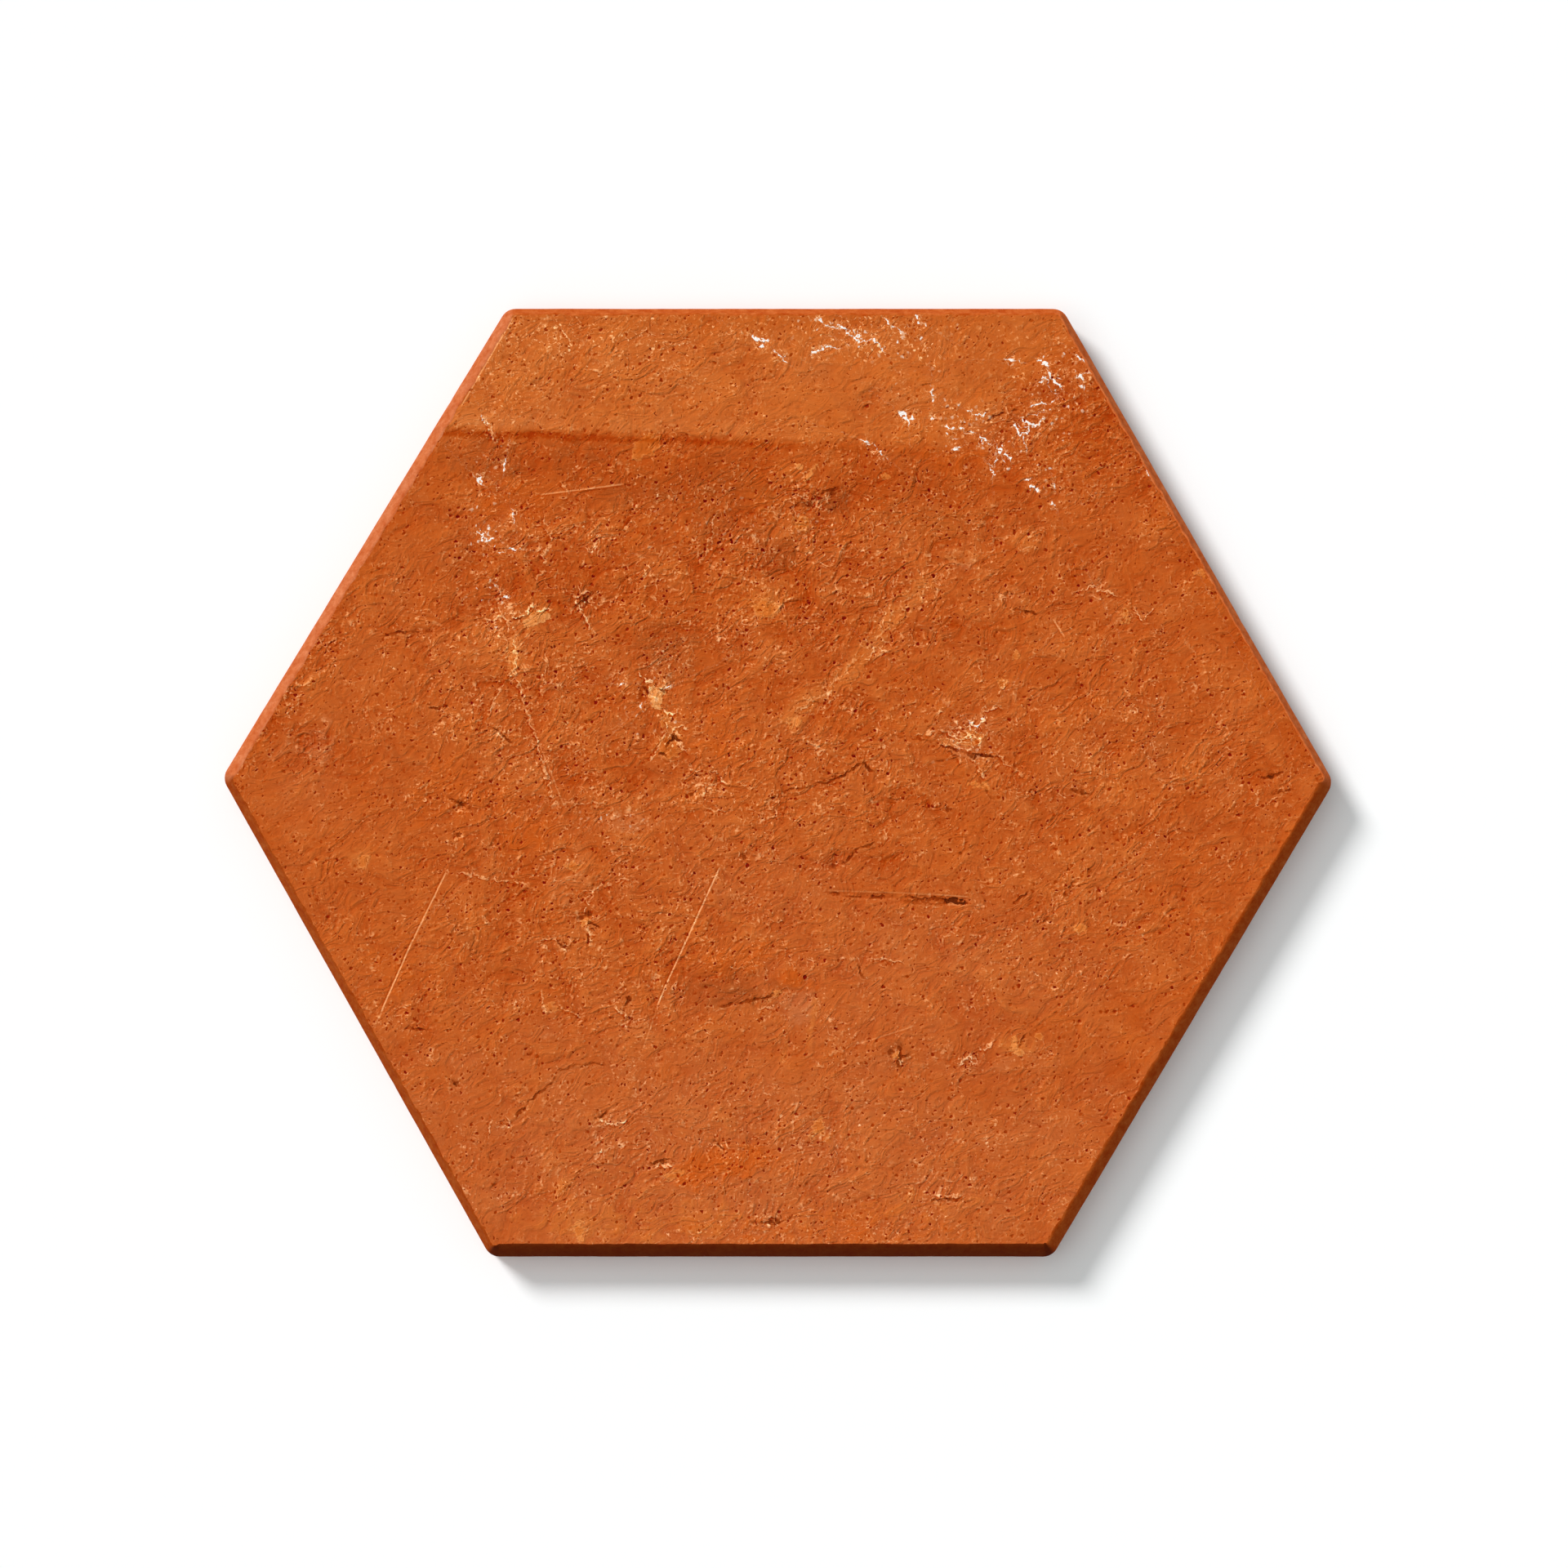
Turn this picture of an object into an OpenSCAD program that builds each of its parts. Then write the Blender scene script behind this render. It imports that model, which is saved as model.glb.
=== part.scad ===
// Hexagonal clay floor tile, pressed by hand and fired as one piece.
// Millimetres. The tile lies on its back: the origin is the centre of the back face,
// +Z points out of the wearing face and X runs from corner to corner.

/* [Face] */
// Distance between the near and the far flat side
across_flats = 200; // [150:1:320]
// Distance between the left and the right corner, before rounding
across_corners = 234; // [180:0.5:380]
// Length of the near and of the far flat side, before rounding
flat_side = 117.6; // [80:0.2:160]
// Height of the fired clay from the back to the wearing face
thickness = 12; // [8:0.5:30]

/* [Handmade shape] */
// How far the far flat side sits to the right of centre, and the near one to the left
rack = 1.4; // [0:0.1:4]
// How far the right corner sits below the centre line, and the left one above it
corner_drop = 0.5; // [0:0.1:3]

/* [Edges] */
// Radius of the six upright corners
corner_radius = 3.4; // [3.2:0.1:12]
// Width of the bevel round the wearing face, seen from above
bevel_width = 2; // [0.5:0.1:3]
// Depth of that bevel down the side
bevel_depth = 2.4; // [0.5:0.1:4]
// Width and depth of the eased edge round the back
back_easing = 0.8; // [0.2:0.1:2]

/* [Hidden] */
// Segments in a full circle: every rounded corner turns through about a sixth of one
$fn = 60;

// The right-hand half of the outline; the left-hand half is the same, turned half round
half_outline = [
    [flat_side / 2 - rack, -across_flats / 2],
    [across_corners / 2, -corner_drop],
    [flat_side / 2 + rack, across_flats / 2]
];
outline = concat(half_outline, [for (corner = half_outline) -corner]);

// The tile seen from above with its corners rounded, drawn in from every side by inset
module plan(inset = 0) {
    offset(r = corner_radius - inset)
        offset(delta = -corner_radius)
            polygon(outline);
}

// One solid of fired clay: straight sides, a bevel above them and an eased edge below
module tile() {
    color("#c05a26")
        hull() {
            linear_extrude(thickness)
                plan(bevel_width);
            translate([0, 0, back_easing])
                linear_extrude(thickness - back_easing - bevel_depth)
                    plan();
            linear_extrude(thickness / 2)
                plan(back_easing);
        }
}

tile();
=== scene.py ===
"""A hexagonal floor tile of fired clay, lying on its back on a pale studio floor.

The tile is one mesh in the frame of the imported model. Shapes, relief and marks are worked out in
millimetres, seen from above: X runs from corner to corner, Y across the flat sides, and the mesh
is turned into metres when it is made. The wearing face, the edges and the back each have their
own clay, mixed from the same node groups.
"""

import math
from collections import namedtuple
from types import SimpleNamespace

import bpy
import numpy as np
from bpy.props import FloatProperty, FloatVectorProperty, IntProperty, PointerProperty
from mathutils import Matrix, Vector


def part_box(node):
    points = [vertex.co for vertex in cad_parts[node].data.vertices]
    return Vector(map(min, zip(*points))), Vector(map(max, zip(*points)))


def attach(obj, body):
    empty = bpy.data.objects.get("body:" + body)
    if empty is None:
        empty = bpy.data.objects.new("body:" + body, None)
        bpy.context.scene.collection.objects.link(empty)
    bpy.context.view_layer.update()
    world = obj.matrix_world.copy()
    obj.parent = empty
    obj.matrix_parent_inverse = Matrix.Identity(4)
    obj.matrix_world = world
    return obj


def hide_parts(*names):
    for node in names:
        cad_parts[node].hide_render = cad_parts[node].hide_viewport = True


bl_info = {
    "name": "Hexagonal Clay Tile",
    "version": (1, 0, 0),
    "blender": (4, 5, 0),
    "location": "View3D > Sidebar > Clay Tile",
    "description": "Builds a worn hexagonal floor tile of fired clay with its studio stage",
    "category": "Add Mesh",
}

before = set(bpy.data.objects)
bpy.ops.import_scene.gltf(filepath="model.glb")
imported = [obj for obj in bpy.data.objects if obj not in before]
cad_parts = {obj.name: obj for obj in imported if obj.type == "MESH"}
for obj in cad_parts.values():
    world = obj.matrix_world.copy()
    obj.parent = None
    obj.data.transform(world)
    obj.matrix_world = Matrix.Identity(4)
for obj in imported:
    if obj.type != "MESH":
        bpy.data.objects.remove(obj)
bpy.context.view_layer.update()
TILE_LOW, TILE_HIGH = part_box("tile")

MM = 0.001
THICKNESS = (TILE_HIGH[2] - TILE_LOW[2]) / MM

# Fixed sizes, in millimetres.
# Width of the strip between the lattice of the back and its edge.
SEAM = 1.4
# How far down from the face its edge is worn.
ARRIS_DEPTH = 0.9
# How far in from the edge the middle of the tile lies.
MIDDLE_INSET = 100
# How far to the side the masks of the flakes, of the lines and of the lime reach.
FLAKE_REACH = 2.0
LINE_REACH = 1.6
LIME_REACH = 2.4
# Where the ledge along the far band crosses the middle of the tile.
LEDGE_Y = 71.75
# The way from the painted shadow beside a burr back to the burr.
LEE_SHIFT = (-0.27, 0.27, 0.0)
# Distance between neighbouring strands of the lace of lime.
LACE_SPACING = 1.7

# Steps of a side that half a rounded corner takes.
ARC_STEPS = 3
# Rings of the rim, from the lowest one up, that belong to the back.
BACK_RIM_RINGS = 3

# The headings that the six sides face, in degrees.
UPPER_RIGHT = 30
FAR = 90
UPPER_LEFT = 150
LOWER_LEFT = 210
NEAR = -90
LOWER_RIGHT = -30
# How much wider than its own width the bevel is on each side, in millimetres.
BEVEL_LEAN = {
    NEAR: 0.36, LOWER_RIGHT: 0.28, FAR: -0.6, UPPER_RIGHT: -0.6, UPPER_LEFT: 0.12, LOWER_LEFT: -0.5,
}
# How strongly each side's bevel gets painted shade, painted light or a painted highlight.
PAINTED_SHADE_SIDES = {NEAR: 1.25, LOWER_RIGHT: 0.42, LOWER_LEFT: 0.55}
PAINTED_LIGHT_SIDES = {UPPER_RIGHT: 1.0, FAR: 0.25}
PAINTED_HIGHLIGHT_SIDES = {UPPER_LEFT: 1.0}

# Which of the mesh's materials the faces of the edge and of the back have.
EDGE_CLAY = 1
BACK_CLAY = 2

# Every mark on the face, in millimetres. Turns are in degrees, anticlockwise from the X axis.
Patch = namedtuple("Patch", "x y length width turn strength")
Line = namedtuple("Line", "path strength")
Trail = namedtuple("Trail", "path width strength")
Gouge = namedtuple("Gouge", "x y radius depth")
Groove = namedtuple("Groove", "path width depth")


def rows(kind, *values):
    """Marks of one kind, each from the values of its row."""
    return [kind(*row) for row in values]


def lines(*values):
    """Lines, each from a row of its strength and then the x and y of its points."""
    return [Line(tuple(zip(row[1::2], row[2::2])), row[0]) for row in values]


# Where the clay has burned yellow, dark, bright or pale.
OCHRE_PATCHES = rows(
    Patch,
    (-2, 38, 9, 7, 20, 0.8), (-51, 34, 7, 3.5, 15, 1.0), (17, 26, 38, 3, 45, 0.45),
    (-55, 25, 3, 14, 10, 0.5), (-88, -17, 6, 5, 0, 0.7), (50, -56, 6, 5, 0, 0.8),
    (-26, 18, 4, 5, 0, 1.0), (-22, 10, 3, 6, 0, 0.7), (9, -74, 4, 4, 0, 0.7),
    (24, -90, 34, 8, 5, 0.4), (-41, -93, 10, 5, 0, 0.6), (-32, -92, 46, 10, 0, 0.55),
    (-35, -84, 24, 10, 10, 0.25), (0, -30, 40, 16, 0, 0.15), (78, -8, 40, 24, 0, 0.15),
)
UMBER_PATCHES = rows(
    Patch,
    (-62, 68, 24, 9, 0, 0.5), (-42, 67, 34, 9, 0, 0.5), (-18, 63, 36, 14, 0, 0.5),
    (12, 59, 11, 7, 0, 1.0), (0, 47, 10, 9, 0, 0.8), (-23, 28, 18, 14, 0, 0.6),
    (-41, 37, 8, 10, 0, 0.6), (-9, 54, 22, 14, 0, 0.4), (-66, 46, 14, 20, 0, 0.3),
    (-47, 20, 14, 14, 0, 0.3), (27, 61, 44, 16, 0, 0.3), (41, 31, 28, 3.5, -3, 0.4),
    (78, 8, 16, 10, 0, 0.35), (-43, -6, 22, 4, 0, 0.3), (48, -32, 22, 4, 20, 0.35),
    (-78, 2, 24, 3, -50, 0.3), (-65, -34, 26, 4, -60, 0.35), (25, -58, 7, 7, 0, 0.5),
    (-11, -43.5, 24, 9, 5, 0.75),
)
RUST_PATCHES = rows(
    Patch,
    (-13.5, -80.5, 24, 9, 10, 1.0), (4, -80, 24, 5, 0, 0.3), (2, -94.5, 80, 5, 0, 0.4),
    (17, -91, 26, 8, 5, 0.55), (-54, -13, 16, 10, 0, 0.6), (-10, -38.5, 26, 8, 8, 0.6),
    (3, -42, 13, 4, -15, 0.8), (-67, -4, 22, 16, 0, 0.4), (-14, 9, 22, 20, 0, 0.4),
    (8, 18, 16, 20, 0, 0.35), (65, 17, 12, 5, 0, 0.5), (-81, -42, 24, 20, 0, 0.3),
    (-54, 58, 26, 8, 10, 0.4), (39, 68, 22, 7, 0, 0.4),
)
ASH_PATCHES = rows(
    Patch,
    (-99, 8, 14, 10, 0, 0.7), (5, -48, 11, 7, 0, 0.9), (40, 9, 13, 10, 20, 0.5),
    (-43, -20, 14, 16, 0, 0.3), (39, -59, 22, 10, 0, 0.3), (39, 46, 6, 5, 0, 0.6),
    (-34, -9, 24, 4, 0, 0.4),
)
# Where the whole face is a little paler, and a little darker.
HAZE_PATCHES = rows(
    Patch,
    (-10, -82, 220, 64, 0, 1.0), (25, -45, 90, 40, 10, 0.7), (0, -24, 60, 22, -10, 0.5),
    (-100, -2, 20, 20, 0, 0.4),
)
DIM_PATCHES = rows(
    Patch,
    (-4, 64, 150, 22, 0, 1.0), (0, 62, 34, 26, 0, 1.0), (-28, 42, 90, 26, 0, 0.6),
    (62, 78, 40, 34, -45, 1.0), (0, 98, 118, 7, 0, 0.7), (87, 50, 116, 9, -60, 1.0),
    (-87, 50, 116, 9, 60, 0.6), (24, 18, 40, 12, 10, 0.5),
)

# Thin ragged flakes of yellow clay.
FLAKES = rows(
    Patch,
    (-50.6, 34.2, 5.2, 2.8, 14, 0.78), (-52.2, 33, 2.4, 2.4, 0, 0.72),
    (-25.6, 18.2, 3.4, 2.4, 0, 0.8), (-25.5, 16.6, 2.2, 3.2, 0, 0.8),
    (-23.4, 12.4, 2.2, 4.4, 0, 0.35), (-23, 6.6, 4.4, 5.4, 40, 0.28),
    (40.6, 8.6, 5.6, 3.6, 10, 0.32), (36.5, 8, 4.6, 1.8, 0, 0.22), (-55.8, 26, 2.4, 7.6, 0, 0.24),
    (-27.6, 70.4, 6.5, 4.2, 30, 0.35), (-29.5, 69, 2.6, 3.4, 0, 0.4), (5, 54, 4, 3, 0, 0.4),
    (39, 46.8, 6, 3.5, 0, 0.18), (3.5, 12, 3, 2, 0, 0.4), (-40.5, -30, 1.8, 1.6, 30, 0.5),
    (24.8, -58, 1.6, 1.4, 30, 0.5), (4.6, 66, 1.8, 1.6, 0, 0.7), (7, 64.6, 3.2, 1.4, 60, 0.6),
    (22.5, 64, 2, 1.6, 0, 0.5), (-2.3, 36, 5.5, 4, 0, 0.35), (-87, -17.3, 3.0, 3.4, 0, 0.3),
    (-43.2, -18.2, 3, 2.2, 0, 0.4), (73, 34.5, 2.0, 3.2, 0, 0.5), (89, 43.5, 2.6, 1.5, 0, 0.45),
    (47.2, 20.3, 2.2, 2.6, 0, 0.35), (42.5, -1.3, 3.4, 1.4, 0, 0.4),
    (63.3, -31.3, 2.6, 2.0, 0, 0.5), (49.3, -55.2, 1.8, 3.4, 10, 0.5),
    (50.6, -57.4, 2.6, 1.6, 0, 0.6), (54.5, -54, 1.8, 1.3, 0, 0.4), (8.5, -73, 2.8, 3.6, 0, 0.4),
    (7.4, -74.6, 2.4, 1.4, 0, 0.35), (-0.5, -45.3, 2.8, 1.4, 40, 0.45),
    (-22, -83, 4.2, 1.8, 30, 0.4), (-41.5, -94.5, 2.2, 4.2, 0, 0.4), (-47.5, -48, 3.4, 2.2, 0, 0.3),
    (50, 26, 1.6, 2, 0, 0.4),
)
# Yellow clay that was dragged along these runs.
SMEARS = (
    Trail(((2.2, 12.8), (5.8, 15.9), (10.7, 18.9), (14.3, 21.9), (19, 27)), 2.9, 1.0),
    Trail(((17, 25), (19.5, 27.8), (25, 34.5), (29.5, 40)), 3.6, 0.95),
    Trail(((8, -46), (7.5, -50), (6.3, -55.5)), 0.8, 0.7),
    Trail(((2.3, -55), (1, -59)), 0.9, 0.7),
    Trail(((60, -34), (61, -38)), 1.2, 0.5),
    Trail(((-50, 33), (-55.5, 29)), 1.2, 0.5),
)

# Where the clay was left rough, and where crumbs of it were torn out.
COARSE_PATCHES = rows(
    Patch,
    (0, 45, 130, 60, 0, 0.85), (8, 0, 70, 44, 0, 0.8), (70, 5, 70, 60, 0, 0.6),
    (-50, 20, 70, 90, 0, 0.75), (-30, -30, 120, 60, 0, 0.6), (70, 70, 60, 30, 0, 0.7),
    (-35, 86, 70, 26, 0, 0.6), (0, -80, 140, 40, 0, 0.5), (60, -28, 90, 40, 20, 0.5),
    (-98, 24, 44, 9, 58, 1.0), (-98.8, 6.5, 16, 12, 0, 0.85),
)
TORN_PATCHES = rows(
    Patch,
    (7.5, 59, 12, 6, 0, 1.0), (-40.5, 38, 7, 6, 0, 1.0), (-12, 30.5, 4, 5, 0, 0.9),
    (21.5, 67, 4, 5, 0, 0.8), (47, 77, 10, 5, 0, 0.9), (54.5, 73, 3, 3, 0, 0.8),
    (-71, 15.2, 5, 3, 0, 0.8), (-63, 17, 4, 4, 0, 0.7), (-58, 9.5, 6, 4, -40, 0.9),
    (-68.3, 71, 4, 3, 0, 0.9), (-69, 62.5, 3, 3, 0, 0.7), (-30.5, 43.6, 8, 3, 0, 0.7),
    (-16, 0, 8, 8, 0, 0.9), (-66.5, -5, 6, 4, 0, 0.8), (-67, -11.8, 4, 3, 0, 0.8),
    (-40, -30, 5, 6, 0, 1.0), (-7, -16.3, 4, 3, 0, 0.8), (12, -18, 4, 3, 30, 0.8),
    (39.5, -14.8, 4, 2, 40, 0.6), (52, 35.4, 4, 2.5, 0, 0.8), (76, 35, 8, 6, 0, 0.8),
    (69, 40, 10, 5, 0, 0.6), (60, 33, 6, 4, 0, 0.5), (80.5, 31, 3, 8, 0, 0.7),
    (54.5, -30, 6, 4, 20, 0.9), (63, -2, 5, 3, 0, 0.8), (78.5, 6, 5, 8, 0, 0.6),
    (105, -1, 8, 6, 0, 0.8), (-45, -35, 6, 3, 0, 0.8), (-32, -50, 7, 7, 0, 0.9),
    (-55, -47, 6, 3, 0, 0.8), (-60, -47.5, 4, 3, 0, 0.7), (-80, -51.5, 10, 5, 0, 0.8),
    (-67.5, -64, 6, 4, -40, 0.9), (-58, -72.5, 6, 5, 0, 0.7), (-35, -71.5, 8, 4, 0, 0.8),
    (-35, -78, 8, 5, 0, 0.6), (-24, -80.5, 8, 3, 10, 1.0), (-12, -76.5, 6, 3, 0, 0.8),
    (24.5, -58, 6, 5, 0, 1.0), (39.5, -58.5, 7, 3, 0, 0.8), (-1, -92.5, 9, 4, 0, 1.0),
    (36, -87.5, 9, 3, 0, 0.7), (42, -84.5, 4, 4, 0, 0.6),
)

# White lime that has bloomed out of the clay, as short runs; each strength is half a width in mm.
LIME_BLOOMS = lines(
    (0.62, -4.8, 93.3, -3.6, 92.7, -2.6, 92.8), (0.34, -0.3, 90.2, 0.6, 89.4, 1.6, 88.6),
    (0.3, 8.5, 97.9, 9.6, 96.6, 10.8, 95.8, 13.4, 95.2), (0.32, 12.4, 96.6, 14.8, 94.6, 17, 92.7),
    (0.3, 17, 94.4, 17.4, 92.6, 20.6, 93, 22, 91), (0.44, 7.3, 90, 8.7, 90.9),
    (0.24, 10, 91.6, 12.4, 91.2), (0.24, 23, 97.2, 24.4, 95.8, 26.5, 94.5),
    (0.32, 29.2, 97.9, 29.7, 97, 31, 96.2), (0.32, 48.3, 88.8, 49.6, 88.8, 51.3, 88.3),
    (0.42, 54.7, 88.8, 57, 87.3, 57.6, 85, 59.7, 82.9), (0.26, 57.4, 85.4, 55.6, 84.4),
    (0.34, 63, 89.5, 64.4, 88.3), (0.30, 67.5, 85.7, 65.2, 86.1, 64, 85.8, 64.5, 82.9),
    (0.32, 53.7, 78.9, 55.7, 79.8, 57.6, 79.2, 58.5, 80.2),
    (0.62, 26.1, 77.4, 27.2, 76.6, 28.2, 76.2), (0.30, 27.4, 76.4, 27.5, 75.3),
    (0.55, 32.4, 76.2, 32.7, 76.2), (0.5, 35.8, 74.4, 37.1, 73.9, 38.8, 74.3),
    (0.26, 40.2, 73.3, 41.2, 73.2), (0.48, 43, 72.1, 44.7, 70.9), (0.55, 46.4, 70.1, 47, 69),
    (0.48, 47.8, 69, 48.7, 67.9), (0.34, 50, 74.8, 51, 72.9, 52.3, 73.3),
    (0.38, 51.4, 76, 52.8, 75.1, 54.7, 74.8, 56, 76.2), (0.18, 40.2, 77.8, 42.6, 76.8, 43.4, 77.3),
    (0.20, 46, 67.6, 45.3, 65, 45.3, 63.2), (0.18, 44.4, 66.2, 45.2, 64.6),
    (0.18, 52, 71, 52.3, 69.6), (0.28, 17.8, 71.6, 19.2, 71.1),
    (0.38, 20.6, 70.2, 21.6, 69, 22.8, 68), (0.30, 37.2, 69.7, 38.2, 70.1),
    (0.62, 53.6, 62.1, 54.6, 61.1), (0.34, 57.9, 58.3, 58.4, 57.3), (0.18, 58.2, 62, 58.4, 61.4),
    (0.18, 52, 63.2, 53, 63.3), (0.24, 32.5, 82.9, 32.8, 80.3), (0.34, 77.6, 65.6, 78, 64.8),
    (0.2, -62.2, 76.6, -61.8, 75.6), (0.46, -63.7, 63.9, -62.6, 62.8),
    (0.42, -56, 56.4, -55.6, 54.7), (0.44, -62.7, 52.4, -62.2, 50.5, -60.4, 50.7),
    (0.2, -58.5, 47.9, -56.7, 48.6, -54.4, 48.5), (0.24, -57.4, 67.2, -57.7, 65.6),
    (0.16, -59.4, 40.8, -59, 40.2), (0.16, -57.8, 38.4, -56.8, 38.6),
    (0.20, -24.4, 18.6, -22.8, 19.4), (0.26, -32.8, 20, -32.6, 20),
    (0.24, -28.9, 15.4, -28.8, 15.5), (0.22, 40.4, 12, 41.8, 10.9, 43.2, 12.6),
)
# Loose dusting of lime round those runs.
LIME_DUST = rows(
    Patch,
    (16, 94, 38, 12, -8, 1.0), (-40, 94, 60, 10, 0, 0.9), (-12, 95, 44, 6, 0, 0.7),
    (-58, 82, 14, 24, 60, 0.5), (58, 84, 26, 18, 60, 0.8), (46, 73, 42, 12, -25, 0.7),
    (-60, 58, 12, 40, 0, 0.6), (-58, 35, 8, 24, 10, 0.7), (-52, 8, 8, 36, 12, 0.4),
    (40, 9, 18, 10, 15, 0.6), (-24, 14, 11, 24, 10, 0.6), (-35, -10, 30, 6, 0, 0.5),
    (2, -95, 80, 5, 0, 0.5), (-30, -62, 30, 26, 30, 0.25),
)
# Where small white dots of lime are strewn.
LIME_SPOTS = rows(
    Patch,
    (20, 93, 34, 12, -8, 0.55), (58, 83, 24, 16, 60, 0.6), (46, 72, 40, 12, -25, 0.6),
    (-61, 56, 9, 36, -5, 0.6), (-60, 39, 8, 14, 0, 0.5), (-27, 16, 16, 14, 0, 0.35),
    (41, 8, 16, 10, 0, 0.35), (-34, -8, 20, 4, 0, 0.4), (-12, 55, 60, 20, 0, 0.2),
)

# Straight pale scratches.
SCRATCHES = lines(
    (0.85, -69.8, -20, -76.6, -34), (1.0, -76.9, -34.6, -82.8, -48.2), (0.5, -83, -49, -84, -51),
    (1.0, -12.4, -19, -23.6, -43.6), (1.0, -23.9, -44.4, -25, -47), (0.3, -25.6, -49, -28, -56),
    (0.7, -49.5, 60.2, -33.1, 62.3), (0.7, -56.2, 97.2, -66.6, 79.2), (0.7, 58.3, 33.2, 60, 30.5),
    (0.35, -53.6, 16.2, -45, -5.3), (0.35, 17, -55.5, 28, -52),
    (0.3, 10.8, -23.4, 26, -23.9, 33, -24.3), (0.5, 33, -24.2, 39.4, -24.7),
)
# Wandering threads and rows of crumbs of pale clay.
THREADS = lines(
    (1.2, -55.5, 34, -54, 34.5, -52.4, 35.3), (1.1, -51.8, 37, -51, 35.4, -48.2, 36),
    (0.9, -61.4, 33.9, -60, 33.6, -57.6, 34.2), (0.8, -57.6, 34, -56.6, 31.8),
    (1.0, -59.6, 41, -58.6, 39.3, -56.5, 38.4), (1.0, -58.6, 37, -58.2, 35.6),
    (1.1, -29, 22.4, -28, 20.2, -26.2, 20.6), (0.9, -27.2, 19.8, -27, 17.8),
    (1.0, -25, 19.6, -22.6, 19.6), (1.1, -23.8, 14.4, -23.4, 13.6, -21.4, 14),
    (1.0, -23.4, 13, -23.4, 10.8, -19, 11), (0.9, -23.2, 10.6, -24.8, 7, -26.8, 4),
    (0.9, -21.8, 9.6, -21, 8, -19, 6), (0.8, 28, 9, 31, 9.4, 33, 10, 36.4, 10.2),
    (1.0, 37.2, 12.3, 37.8, 10.8, 40.6, 9.4), (1.0, 36.2, 9.4, 38.2, 8.4, 41, 8.8),
    (1.1, 40.4, 12.2, 42, 10.8, 43.2, 12.8), (0.9, 41, 9.6, 42.4, 8, 42, 6.4),
    (0.8, 34.6, 7.6, 38, 6.8, 40.4, 6), (0.9, 43.8, 17, 43.9, 14.8, 46.6, 15),
    (0.9, 41, 4.5, 42.2, 2.4, 43.5, 0.4), (0.7, 45.8, 5.1, 48, 3.5, 51.8, 0.8),
    (0.9, 46.4, 18.4, 48, 20.4), (0.85, -55.5, 30, -55.5, 24, -54, 19, -51, 9, -50, 6, -47, -5.5),
    (0.8, -56.3, 22.2, -59.5, 17, -61, 12.5), (0.8, -49.4, 56.2, -48, 50, -50.6, 42),
    (0.7, -47.5, 52, -42, 53.8), (0.8, -13.2, 56, -13.5, 52.5, -16.2, 45.2),
    (0.8, -29.5, 58, -32.5, 52.5), (0.9, -45.6, 95, -43.6, 92.9), (1.0, -43, 38.5, -39.5, 32),
    (0.7, -46, -5.5, -36, -4.5), (0.7, -35, -8, -30, -7.5), (0.9, -19, 2, -13, 1.5, -11, -1),
    (0.7, -15, -6, -11, -7), (0.8, -67, -19.5, -62, -20.5, -53, -22), (0.7, -41.5, -24, -31, -20.5),
    (0.8, -45.5, 62.5, -44.5, 61), (1.0, -61.8, 76.5, -60.3, 72.2), (0.8, 38, 4.2, 39.2, 2.6),
    (0.9, 62, 39.5, 66, 40.5, 71, 39), (0.9, 75, 36, 77, 33.5, 79, 36),
    (0.8, 103.5, -4.3, 106, -3.8), (0.9, -40, -26, -40.6, -27.4), (0.9, -39.4, -32.4, -39.2, -34.6),
    (0.8, -49.5, -45, -48.5, -49), (0.8, -45.5, -47.5, -44, -49, -41, -49.8),
    (0.9, -34, -48, -31.5, -49.5, -32, -52), (0.8, -60, -71, -60.3, -75),
    (0.9, -56.5, -71, -56, -72.5, -57.5, -73),
    (1.0, -37, -71.5, -34.5, -72.5, -32, -72, -31.6, -70.5), (1.0, -26, -81.2, -22, -80.8),
    (0.8, -4, -48, 0, -47.8), (0.5, 10, -58, 18, -55.3), (0.9, 25.6, -58.8, 25.4, -59.6),
    (0.6, 33, -58.5, 36, -56.5), (1.0, 38, -59.8, 40.3, -58, 41.2, -59.8),
    (0.9, 42.3, -56.6, 43, -57, 45, -55), (0.8, 20, -37.5, 26, -38.5), (0.8, 33, -87.2, 38, -87.3),
    (0.6, 4, 14.6, 7, 16.6, 11.6, 18.4), (0.55, 6.5, 13.4, 9, 14.8, 12, 17.4),
    (0.6, 11, 19.6, 14, 22.7, 17, 26.4), (0.9, 18.6, 25.2, 21, 27.8, 23, 27),
    (0.6, 24, 31.4, 25.6, 33.6),
)
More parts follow.
